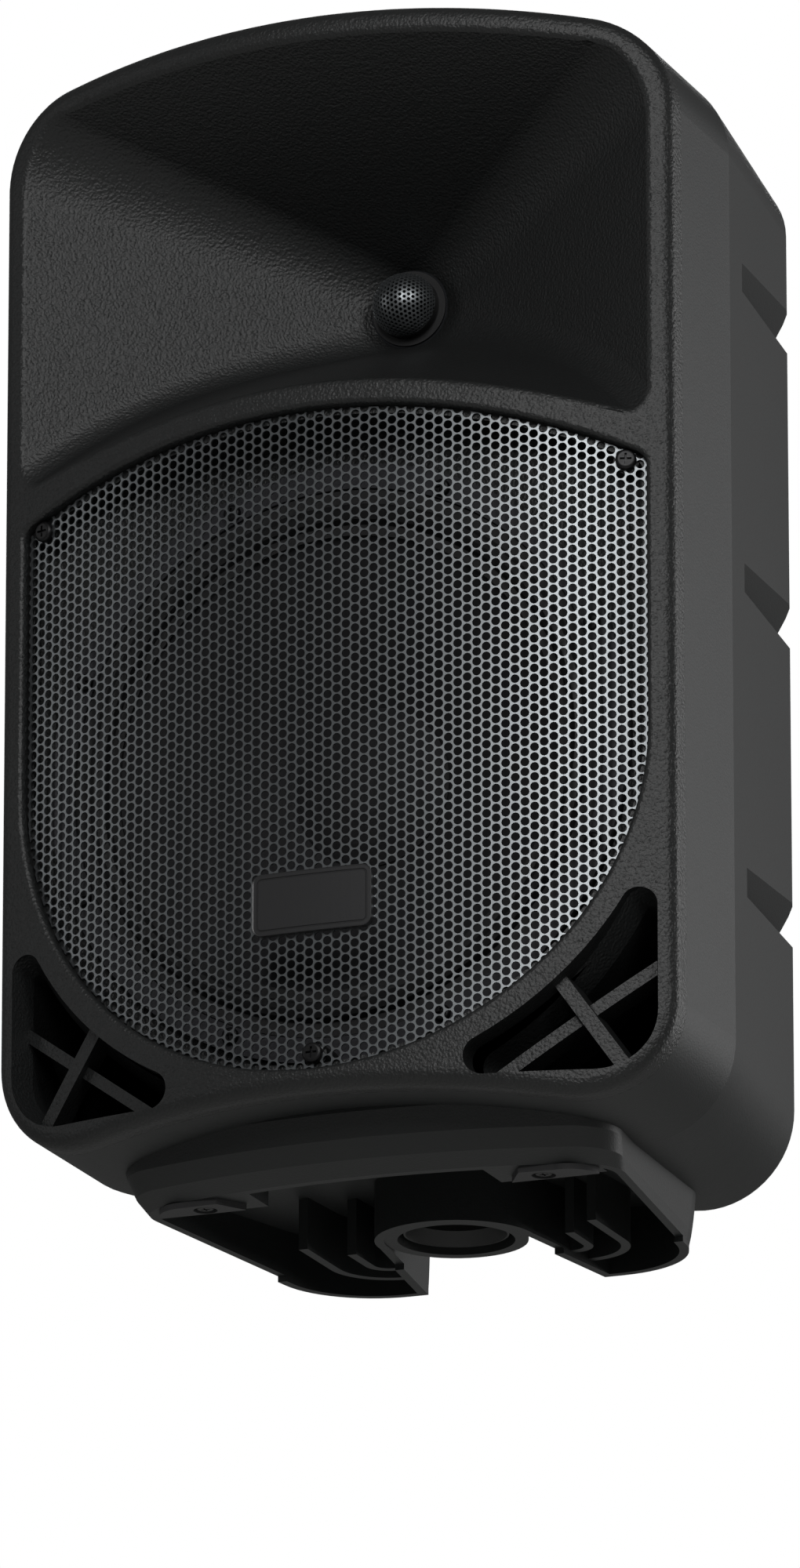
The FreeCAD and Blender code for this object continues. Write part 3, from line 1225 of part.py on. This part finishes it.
tab_group = doc.addObject("Part::Compound", "transistor_group")
tab_group.Links = tabs
keep("output_transistors", tab_group)


# ---------------------------------------------------------------- check and write
doc.recompute()
failed = [item.Label for item in doc.Objects if {"Invalid", "Error"} & set(item.State)]
if failed:
    raise RuntimeError("objects that did not build: " + ", ".join(failed))
for label, item in pieces.items():
    if item.Shape.isNull() or not item.Shape.isValid() or not item.Shape.Solids:
        raise RuntimeError("no sound solid in " + label)
os.makedirs("parts", exist_ok=True)
for label, item in pieces.items():
    item.Shape.exportStep(os.path.join("parts", label + ".step"))
print("%d pieces" % len(pieces))
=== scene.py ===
"""Compact two-way powered loudspeaker: moulded cabinet, bowed perforated grille and flared horn."""
import math

import bpy
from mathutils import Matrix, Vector


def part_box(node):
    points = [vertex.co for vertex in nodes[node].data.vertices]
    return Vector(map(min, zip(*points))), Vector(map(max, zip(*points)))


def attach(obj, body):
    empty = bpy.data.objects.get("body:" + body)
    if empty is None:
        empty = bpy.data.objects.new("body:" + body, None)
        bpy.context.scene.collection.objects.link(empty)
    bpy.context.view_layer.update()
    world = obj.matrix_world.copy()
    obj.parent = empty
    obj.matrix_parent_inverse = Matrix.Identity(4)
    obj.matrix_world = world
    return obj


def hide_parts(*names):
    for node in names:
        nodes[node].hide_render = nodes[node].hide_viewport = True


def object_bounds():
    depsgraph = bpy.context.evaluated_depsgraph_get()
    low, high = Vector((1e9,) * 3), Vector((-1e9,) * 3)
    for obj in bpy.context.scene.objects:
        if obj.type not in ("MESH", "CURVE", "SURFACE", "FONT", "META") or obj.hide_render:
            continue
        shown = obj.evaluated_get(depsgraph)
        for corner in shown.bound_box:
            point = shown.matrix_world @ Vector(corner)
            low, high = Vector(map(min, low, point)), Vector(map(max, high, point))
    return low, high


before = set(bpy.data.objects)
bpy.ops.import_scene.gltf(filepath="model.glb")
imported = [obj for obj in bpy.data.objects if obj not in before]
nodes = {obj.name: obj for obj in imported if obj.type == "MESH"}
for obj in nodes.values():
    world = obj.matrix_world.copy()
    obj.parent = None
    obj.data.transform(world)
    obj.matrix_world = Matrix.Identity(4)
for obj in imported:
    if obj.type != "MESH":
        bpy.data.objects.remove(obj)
cad_low, cad_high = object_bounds()


# ---------------------------------------------------------------- cabinet shell
# The rear moulding is polypropylene, injected against a finely etched steel mould.
# That leaves a charcoal skin with a soft, broken sheen and grain under a millimetre wide.
def colour(code):
    """Linear colour of an sRGB hex value."""
    parts = [int(code[at:at + 2], 16) / 255 for at in (1, 3, 5)]
    return tuple(p / 12.92 if p <= 0.04045 else ((p + 0.055) / 1.055) ** 2.4 for p in parts) + (1.0,)


def add(tree, kind, settings=(), links=()):
    """A node with its settings, by attribute or input name, and its links (input, node, output)."""
    item = tree.nodes.new(kind)
    for name, value in dict(settings).items():
        if name in item.inputs:
            item.inputs[name].default_value = value
        else:
            setattr(item, name, value)
    for name, source, output in links:
        tree.links.new(source.outputs[output], item.inputs[name])
    return item


def start_finish(name):
    """A new material and its emptied node tree."""
    material = bpy.data.materials.new(name)
    material.use_nodes = True
    material.node_tree.nodes.clear()
    return material, material.node_tree


def moulded_plastic(name, dark, light, grain_mm, depth_mm, roughness):
    """Grained thermoplastic: a pebbled bump, faint shade changes and a broken sheen."""
    material, tree = start_finish(name)
    place = add(tree, "ShaderNodeTexCoord")
    pebble = add(tree, "ShaderNodeTexNoise",
                 {"Scale": 1000 / grain_mm, "Detail": 2.0, "Roughness": 0.55},
                 [("Vector", place, "Object")])
    cells = add(tree, "ShaderNodeTexVoronoi", {"Scale": 800 / grain_mm, "feature": "SMOOTH_F1"},
                [("Vector", place, "Object")])
    height = add(tree, "ShaderNodeMath", {"operation": "SUBTRACT"},
                 [(0, pebble, "Fac"), (1, cells, "Distance")])
    bump = add(tree, "ShaderNodeBump", {"Strength": 0.9, "Distance": depth_mm / 1000},
               [("Height", height, "Value")])
    clouds = add(tree, "ShaderNodeTexNoise", {"Scale": 14.0, "Detail": 3.0}, [("Vector", place, "Object")])
    shade = add(tree, "ShaderNodeMix", {"data_type": "RGBA"}, [("Factor", clouds, "Fac")])
    shade.inputs[6].default_value = colour(dark)
    shade.inputs[7].default_value = colour(light)
    rough = add(tree, "ShaderNodeMapRange", {"To Min": roughness - 0.05, "To Max": roughness + 0.07},
                [("Value", pebble, "Fac")])
    skin = add(tree, "ShaderNodeBsdfPrincipled", {"IOR": 1.49, "Specular IOR Level": 0.42},
               [("Roughness", rough, "Result"), ("Normal", bump, "Normal")])
    tree.links.new(shade.outputs[2], skin.inputs["Base Color"])
    add(tree, "ShaderNodeOutputMaterial", (), [("Surface", skin, "BSDF")])
    return material


def dress(material, *names):
    """Gives CAD nodes one material."""
    for name in names:
        nodes[name].data.materials.clear()
        nodes[name].data.materials.append(material)


dress(moulded_plastic("polypropylene_fine_grain", "#161818", "#1C1E1E", 0.7, 0.06, 0.5), "cabinet_shell")


# ---------------------------------------------------------------- front moulding
# The bezel, horn and ports are one polypropylene moulding with a coarse pebble grain.
# Each pebble is a millimetre or more across, so the lit flats sparkle.
dress(moulded_plastic("polypropylene_pebble_grain", "#171818", "#1D1E1E", 1.0, 0.3, 0.44), "front_baffle")


# ---------------------------------------------------------------- woofer grille
# A steel sheet, punched in a staggered pattern, bent to the bow and powder coated.
# The satin coat takes a bright upright band where the bend faces the light.
GRILLE_PITCH = 0.00418            # hole to hole, up a column
GRILLE_COLUMN = 0.003956          # column to column, round the bend
GRILLE_HOLE = 0.00187             # radius of a hole
GRILLE_SHEET = 0.0008             # thickness, drawn thinner than the CAD sheet so holes read clear
BOW = 0.413                       # radius of the sheet's outer face
CROWN = 0.3274                    # radius of the sheet's top edge
CORNER = 0.0064                   # radius of its upper corners


def edit(piece):
    """Opens a piece in edit mode with everything deselected."""
    bpy.ops.object.select_all(action="DESELECT")
    piece.select_set(True)
    bpy.context.view_layer.objects.active = piece
    bpy.ops.object.mode_set(mode="EDIT")
    bpy.ops.mesh.select_all(action="DESELECT")


def settle(piece):
    """Applies a piece's modifiers and place, and leaves it deselected."""
    if piece.mode == "EDIT":
        bpy.ops.object.mode_set(mode="OBJECT")
    bpy.ops.object.select_all(action="DESELECT")
    piece.select_set(True)
    bpy.context.view_layer.objects.active = piece
    for modifier in list(piece.modifiers):
        bpy.ops.object.modifier_apply(modifier=modifier.name)
    bpy.ops.object.transform_apply(location=True, rotation=True, scale=True)
    piece.select_set(False)


def perforation(name, hole, column, pitch, columns, rows):
    """A flat sheet of hexagonal cells with a round hole in each, square to Y, centred on the origin."""
    bpy.ops.object.select_all(action="DESELECT")
    bpy.ops.mesh.primitive_circle_add(vertices=12, radius=hole, fill_type="NOTHING",
                                      rotation=(math.radians(90), 0, 0))
    sheet = bpy.context.object
    sheet.name = name
    bpy.ops.object.transform_apply(location=True, rotation=True, scale=True)
    bpy.ops.object.mode_set(mode="EDIT")
    bpy.ops.mesh.select_all(action="SELECT")
    bpy.ops.mesh.extrude_edges_move()
    bpy.ops.object.mode_set(mode="OBJECT")
    lean = pitch ** 2 / (8 * column)
    far, near, top = column / 2 + lean, column / 2 - lean, pitch / 2
    rim = [(far, 0), (column / 2, top / 2), (near, top), (0, top), (-near, top), (-column / 2, top / 2),
           (-far, 0), (-column / 2, -top / 2), (-near, -top), (0, -top), (near, -top), (column / 2, -top / 2)]
    for vertex in sheet.data.vertices[12:]:
        turn = round(math.degrees(math.atan2(vertex.co.z, vertex.co.x)) / 30) % 12
        vertex.co.x, vertex.co.z = rim[turn]
    for repeat, count, step in (("stagger", 2, (column, 0, pitch / 2)),
                                ("across", columns // 2, (2 * column, 0, 0)),
                                ("upward", rows, (0, 0, pitch))):
        array = sheet.modifiers.new(repeat, "ARRAY")
        array.count = count
        array.use_relative_offset = False
        array.use_constant_offset = True
        array.constant_offset_displace = step
    settle(sheet)
    edit(sheet)
    bpy.ops.mesh.select_all(action="SELECT")
    bpy.ops.mesh.remove_doubles(threshold=hole / 100)
    bpy.ops.mesh.normals_make_consistent(inside=False)
    bpy.ops.object.mode_set(mode="OBJECT")
    shift = Vector(((columns // 2 - 0.5) * column, 0, (rows - 0.5) * pitch / 2))
    facing = 1 if sheet.data.polygons[0].normal.y < 0 else -1
    for vertex in sheet.data.vertices:
        vertex.co -= shift
    if facing < 0:
        sheet.data.flip_normals()
    return sheet


def trim(sheet, planes):
    """Cuts away what lies outside each plane, given by a point and its outward normal."""
    edit(sheet)
    for point, outward in planes:
        bpy.ops.mesh.select_all(action="SELECT")
        bpy.ops.mesh.bisect(plane_co=point, plane_no=outward, clear_outer=True)
    bpy.ops.object.mode_set(mode="OBJECT")


grille_low, grille_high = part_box("woofer_grille")
grille_half = grille_high.x
grille_axis = grille_low.z + grille_half
crown_centre = grille_high.z - CROWN
corner_x = grille_half - CORNER
corner_z = crown_centre + math.sqrt((CROWN - CORNER) ** 2 - corner_x ** 2)
corner_turn = math.degrees(math.atan2(corner_z - crown_centre, corner_x))
rounds = [(Vector((0, 0, grille_axis)), grille_half, 180, 360, 44),
          (Vector((corner_x, 0, corner_z)), CORNER, 0, corner_turn, 4),
          (Vector((0, 0, crown_centre)), CROWN, corner_turn, 180 - corner_turn, 14),
          (Vector((-corner_x, 0, corner_z)), CORNER, 180 - corner_turn, 180, 4)]
edges = []
for centre, radius, first, last, count in rounds:
    for step in range(count + 1):
        angle = math.radians(first + (last - first) * step / count)
        outward = Vector((math.cos(angle), 0, math.sin(angle)))
        edges.append((centre + outward * radius, outward))

reach = 2 * BOW * math.asin(grille_half / BOW)
tall = grille_high.z - grille_low.z
flat_grille = perforation("woofer_grille_left", GRILLE_HOLE, GRILLE_COLUMN, GRILLE_PITCH,
                          2 * math.ceil(reach / GRILLE_COLUMN / 2) + 2, math.ceil(tall / GRILLE_PITCH) + 2)
for vertex in flat_grille.data.vertices:
    vertex.co.x = BOW * math.sin(vertex.co.x / BOW)
    vertex.co.z += (grille_low.z + grille_high.z) / 2
trim(flat_grille, edges)
right_grille = flat_grille.copy()
right_grille.data = flat_grille.data.copy()
right_grille.name = "woofer_grille_right"
bpy.context.scene.collection.objects.link(right_grille)
trim(flat_grille, [(Vector(), Vector((1, 0, 0)))])
trim(right_grille, [(Vector(), Vector((-1, 0, 0)))])

coat, tree = start_finish("powder_coated_steel")
place = add(tree, "ShaderNodeTexCoord")
peel = add(tree, "ShaderNodeTexNoise", {"Scale": 1800.0, "Detail": 2.0}, [("Vector", place, "Object")])
bump = add(tree, "ShaderNodeBump", {"Strength": 0.25, "Distance": 0.00003}, [("Height", peel, "Fac")])
sheen = add(tree, "ShaderNodeMapRange", {"To Min": 0.3, "To Max": 0.4}, [("Value", peel, "Fac")])
skin = add(tree, "ShaderNodeBsdfPrincipled",
           {"Base Color": colour("#6E7173"), "Metallic": 0.85},
           [("Roughness", sheen, "Result"), ("Normal", bump, "Normal")])
add(tree, "ShaderNodeOutputMaterial", (), [("Surface", skin, "BSDF")])

for sheet in (flat_grille, right_grille):
    for vertex in sheet.data.vertices:
        vertex.co.y = grille_low.y + BOW - math.sqrt(BOW ** 2 - vertex.co.x ** 2)
    thick = sheet.modifiers.new("thick", "SOLIDIFY")
    thick.thickness = GRILLE_SHEET
    thick.offset = -1
    settle(sheet)
    bpy.context.view_layer.objects.active = sheet
    sheet.select_set(True)
    bpy.ops.object.shade_smooth_by_angle(angle=math.radians(35))
    sheet.select_set(False)
    sheet.data.materials.append(coat)
    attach(sheet, "cabinet")
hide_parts("woofer_grille")


# ---------------------------------------------------------------- horn mesh
# A small dome of punched steel closes the horn's throat, held by a rolled lip.
# The dome is coated as the grille is, and catches one bright spot; the lip is black.
DOME_PITCH = 0.00215
DOME_HOLE = 0.00074               # radius of a hole
DOME_SHEET = 0.0006
dome_low, dome_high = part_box("tweeter_mesh")
dome_centre = Vector((0, dome_high.y - 0.005, (dome_low.z + dome_high.z) / 2))
dome_radius = dome_centre.y - dome_low.y
cells_across = 2 * math.ceil(math.pi * dome_radius / 2 / DOME_PITCH / 0.866) + 2
dome = perforation("horn_mesh", DOME_HOLE, DOME_PITCH * 0.866, DOME_PITCH, cells_across, cells_across)
trim(dome, [(Vector((math.cos(a), 0, math.sin(a))) * dome_radius * 1.5,
             Vector((math.cos(a), 0, math.sin(a)))) for a in (math.radians(10 * s) for s in range(36))])
for vertex in dome.data.vertices:
    out = math.hypot(vertex.co.x, vertex.co.z)
    swing = out / dome_radius
    share = dome_radius * math.sin(swing) / out if out > 1e-7 else 1.0
    vertex.co = dome_centre + Vector((vertex.co.x * share, -dome_radius * math.cos(swing),
                                      vertex.co.z * share))
thick = dome.modifiers.new("thick", "SOLIDIFY")
thick.thickness = DOME_SHEET
thick.offset = -1
settle(dome)
dome.data.materials.append(coat)
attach(dome, "cabinet")
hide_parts("tweeter_mesh")

bpy.ops.object.select_all(action="DESELECT")
bpy.ops.mesh.primitive_circle_add(vertices=64, radius=dome_radius - 0.0004, fill_type="NOTHING",
                                  rotation=(math.radians(90), 0, 0),
                                  location=dome_centre + Vector((0, -0.0006, 0)))
lip = bpy.context.object
lip.name = "horn_mesh_lip"
settle(lip)
edit(lip)
bpy.ops.mesh.select_all(action="SELECT")
for back, wide in ((0.0042, 1.0), (0.0004, 1.02), (0.0, 1.2), (0.0008, 1.0)):
    bpy.ops.mesh.extrude_edges_move(TRANSFORM_OT_translate={"value": (0, back, 0)})
    bpy.ops.transform.resize(value=(wide, 1, wide), center_override=dome_centre)
bpy.ops.mesh.select_all(action="SELECT")
bpy.ops.mesh.normals_make_consistent(inside=False)
settle(lip)
lip.data.materials.append(moulded_plastic("black_rolled_rim", "#0E0E0F", "#121213", 0.6, 0.01, 0.5))
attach(lip, "cabinet")


# ---------------------------------------------------------------- screws
# Black oxide pan-head screws with a cross recess: oiled steel, nearly black, with a soft gleam.
# Those of the grille show in front; the rest hold the panel, the feet and the cabinet.
oxide, tree = start_finish("black_oxide_steel")
place = add(tree, "ShaderNodeTexCoord")
blotch = add(tree, "ShaderNodeTexNoise", {"Scale": 900.0, "Detail": 3.0}, [("Vector", place, "Object")])
sheen = add(tree, "ShaderNodeMapRange", {"To Min": 0.32, "To Max": 0.5}, [("Value", blotch, "Fac")])
skin = add(tree, "ShaderNodeBsdfPrincipled", {"Base Color": colour("#1A1A1B"), "Metallic": 0.6},
           [("Roughness", sheen, "Result")])
add(tree, "ShaderNodeOutputMaterial", (), [("Surface", skin, "BSDF")])
dress(oxide, "grille_screws", "woofer_screws", "cabinet_screws", "panel_screws", "foot_screws", "handle_screws")


# ---------------------------------------------------------------- badge
# A plain plate of moulded plastic with round corners, satin black, glued to the grille and
# bent to its bow. A shallow groove runs round the face and catches a thin line of light.
def pick(piece, kind, chosen):
    """Opens a piece in edit mode with the edges or faces selected that pass a test."""
    edit(piece)
    bpy.ops.mesh.select_mode(type=kind)
    bpy.ops.object.mode_set(mode="OBJECT")
    for part in piece.data.edges if kind == "EDGE" else piece.data.polygons:
        part.select = chosen(part)
    bpy.ops.object.mode_set(mode="EDIT")


PLATE_CORNER = 0.004
PLATE_THICK = 0.003
PLATE_STRIPS = 12                 # flat strips that take up the bow
plate_low, plate_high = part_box("badge_plate")
bpy.ops.object.select_all(action="DESELECT")
bpy.ops.mesh.primitive_cube_add(
    size=1, location=(0, plate_low.y + PLATE_THICK / 2, (plate_low.z + plate_high.z) / 2),
    scale=(plate_high.x - plate_low.x, PLATE_THICK, plate_high.z - plate_low.z))
plate = bpy.context.object
plate.name = "badge_blank"
settle(plate)
spots = plate.data.vertices
pick(plate, "EDGE",
     lambda edge: abs(spots[edge.vertices[0]].co.y - spots[edge.vertices[1]].co.y) > PLATE_THICK / 2)
bpy.ops.mesh.bevel(offset=PLATE_CORNER, segments=8, affect="EDGES")
settle(plate)
pick(plate, "FACE", lambda face: face.normal.y < -0.9)
for wide, deep in ((0.0005, -0.0002), (0.0012, 0), (0.0003, -0.0004), (0.0003, 0), (0.0003, 0.0004)):
    bpy.ops.mesh.inset(thickness=wide, depth=deep)
for strip in range(1, PLATE_STRIPS):
    bpy.ops.mesh.select_all(action="SELECT")
    bpy.ops.mesh.bisect(plane_co=(plate_low.x + (plate_high.x - plate_low.x) * strip / PLATE_STRIPS, 0, 0),
                        plane_no=(1, 0, 0))
settle(plate)
for vertex in plate.data.vertices:
    vertex.co.y += BOW - math.sqrt(BOW ** 2 - vertex.co.x ** 2)
plate.data.materials.append(moulded_plastic("satin_black_plate", "#262627", "#2A2A2B", 0.5, 0.01, 0.35))
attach(plate, "cabinet")
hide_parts("badge_plate")


# ---------------------------------------------------------------- rubber pads
# Two pads of natural rubber under the front of the base, smooth and matt.
dress(moulded_plastic("natural_rubber", "#2B2B2C", "#343435", 1.2, 0.02, 0.6),
      "foot_pad_left", "foot_pad_right")


# ---------------------------------------------------------------- pole socket, handle and rear fittings
# Glass-filled nylon: a little smoother and blacker than the cabinet round it.
dress(moulded_plastic("glass_filled_nylon", "#121313", "#191A1A", 0.6, 0.03, 0.42),
      "pole_socket", "carry_handle", "combo_socket_a", "combo_socket_b", "link_socket", "mains_inlet",
      "rocker_frame", "level_knob_a", "level_knob_b", "low_tone_knob", "high_tone_knob", "line_button_a",
      "line_button_b", "power_rocker")


# ---------------------------------------------------------------- amplifier panel
# Folded steel plate with a fine black texture coat, which scatters a wide soft sheen.
dress(moulded_plastic("texture_coated_plate", "#1A1B1C", "#202122", 0.5, 0.04, 0.45), "amp_panel")


# ---------------------------------------------------------------- heatsink and castings
# Die-cast aluminium, black anodised outside and left bright on the driver's parts inside.
def bare_metal(name, tone, roughness, grain_mm):
    """Machined, cast or plated metal with a faint uneven polish."""
    material, tree = start_finish(name)
    place = add(tree, "ShaderNodeTexCoord")
    marks = add(tree, "ShaderNodeTexNoise", {"Scale": 1000 / grain_mm, "Detail": 4.0},
                [("Vector", place, "Object")])
    polish = add(tree, "ShaderNodeMapRange", {"To Min": roughness - 0.08, "To Max": roughness + 0.1},
                 [("Value", marks, "Fac")])
    bump = add(tree, "ShaderNodeBump", {"Strength": 0.3, "Distance": 0.00003}, [("Height", marks, "Fac")])
    skin = add(tree, "ShaderNodeBsdfPrincipled", {"Base Color": colour(tone), "Metallic": 1.0},
               [("Roughness", polish, "Result"), ("Normal", bump, "Normal")])
    add(tree, "ShaderNodeOutputMaterial", (), [("Surface", skin, "BSDF")])
    return material


dress(bare_metal("black_anodised_aluminium", "#2A2B2D", 0.4, 1.5), "heatsink", "woofer_basket",
      "driver_throat_block")
dress(bare_metal("zinc_plated_steel", "#B9BCC0", 0.32, 3.0), "driver_bolts", "driver_rear_plate",
      "potentiometers", "woofer_top_plate", "woofer_yoke")
dress(bare_metal("nickel_plate", "#C9C6BE", 0.22, 4.0), "combo_latch_a", "combo_latch_b", "board_spacers")
dress(bare_metal("ferrite", "#3A3A3C", 0.6, 2.0), "driver_magnet", "woofer_magnet")
dress(bare_metal("spun_aluminium", "#D0D2D4", 0.3, 2.0), "driver_diaphragm")
dress(bare_metal("enamelled_copper", "#A85A32", 0.35, 0.6), "voice_coil", "power_transformer")


# ---------------------------------------------------------------- cone, soft parts and electronics
# Pressed paper cone and cap, rubber surround, cloth spider, foam and boards behind the grille.
dress(moulded_plastic("pressed_paper", "#18181A", "#202022", 1.0, 0.05, 0.8), "woofer_cone", "dust_cap")
dress(moulded_plastic("butyl_rubber", "#141415", "#1A1A1B", 1.5, 0.02, 0.55), "cone_surround")
dress(moulded_plastic("resin_dipped_cloth", "#8A6B2F", "#9C7B3A", 0.9, 0.1, 0.75), "cone_spider")
dress(moulded_plastic("open_cell_foam", "#2C2C2F", "#38383B", 1.4, 0.3, 0.95),
      "acoustic_foam", "frame_gasket")
dress(moulded_plastic("phenolic_case", "#16171A", "#1C1D20", 0.8, 0.02, 0.4), "driver_cap", "diaphragm_ring",
      "spider_ring", "button_switches", "filter_capacitors", "output_transistors")
dress(moulded_plastic("solder_mask", "#134A2A", "#185A33", 3.0, 0.02, 0.35),
      "amplifier_board", "input_board")
dress(moulded_plastic("lamp_lens", "#4FBF5A", "#62D06C", 2.0, 0.01, 0.15), "indicator_lamps")


# ---------------------------------------------------------------- studio
# The cabinet stands high on its pole, so the pale floor lies far below and the surround is plain white.
bpy.ops.object.select_all(action="DESELECT")
bpy.ops.mesh.primitive_plane_add(size=14, location=(0, 0, -1.75))
floor = bpy.context.object
floor.name = "studio_floor"
floor_finish, tree = start_finish("pale_floor")
skin = add(tree, "ShaderNodeBsdfPrincipled", {"Base Color": colour("#E9E9E7"), "Roughness": 0.8})
add(tree, "ShaderNodeOutputMaterial", (), [("Surface", skin, "BSDF")])
floor.data.materials.append(floor_finish)

world = bpy.data.worlds.new("white_studio")
bpy.context.scene.world = world
world.use_nodes = True
tree = world.node_tree
tree.nodes.clear()
seen = add(tree, "ShaderNodeLightPath")
level = add(tree, "ShaderNodeMapRange", {"To Min": 0.13, "To Max": 1.0}, [("Value", seen, "Is Camera Ray")])
glow = add(tree, "ShaderNodeBackground", {"Color": (1, 1, 1, 1)}, [("Strength", level, "Result")])
add(tree, "ShaderNodeOutputWorld", (), [("Surface", glow, "Background")])


def softbox(name, place, aim, wide, high, power):
    """A rectangular soft light turned towards a point."""
    light = bpy.data.lights.new(name, "AREA")
    light.shape = "RECTANGLE"
    light.size = wide
    light.size_y = high
    light.energy = power
    lamp = bpy.data.objects.new(name, light)
    bpy.context.scene.collection.objects.link(lamp)
    lamp.location = place
    lamp.rotation_euler = (Vector(aim) - Vector(place)).to_track_quat("-Z", "Y").to_euler()


middle = (cad_low + cad_high) / 2
softbox("front_key", (0.62, -3.0, 1.3), middle, 0.5, 1.3, 34)
softbox("right_front", (2.0, -2.3, 1.4), middle, 0.8, 1.2, 26)
softbox("left_fill", (-2.6, -1.8, 0.9), middle, 0.8, 1.6, 5)
softbox("right_rear", (2.2, 2.2, 0.5), middle, 1.2, 1.8, 30)
softbox("rear_fill", (-1.2, 2.8, 1.6), middle, 1.4, 1.4, 30)

lens = bpy.data.cameras.new("camera")
lens.lens = 290.85
lens.clip_end = 60
camera = bpy.data.objects.new("camera", lens)
bpy.context.scene.collection.objects.link(camera)
camera.location = (1.8547, -4.6891, -1.3431)
camera.rotation_euler = Vector((-0.35355, 0.88905, 0.29084)).to_track_quat("-Z", "Y").to_euler()
bpy.context.scene.camera = camera
bpy.context.scene.view_settings.view_transform = "Standard"
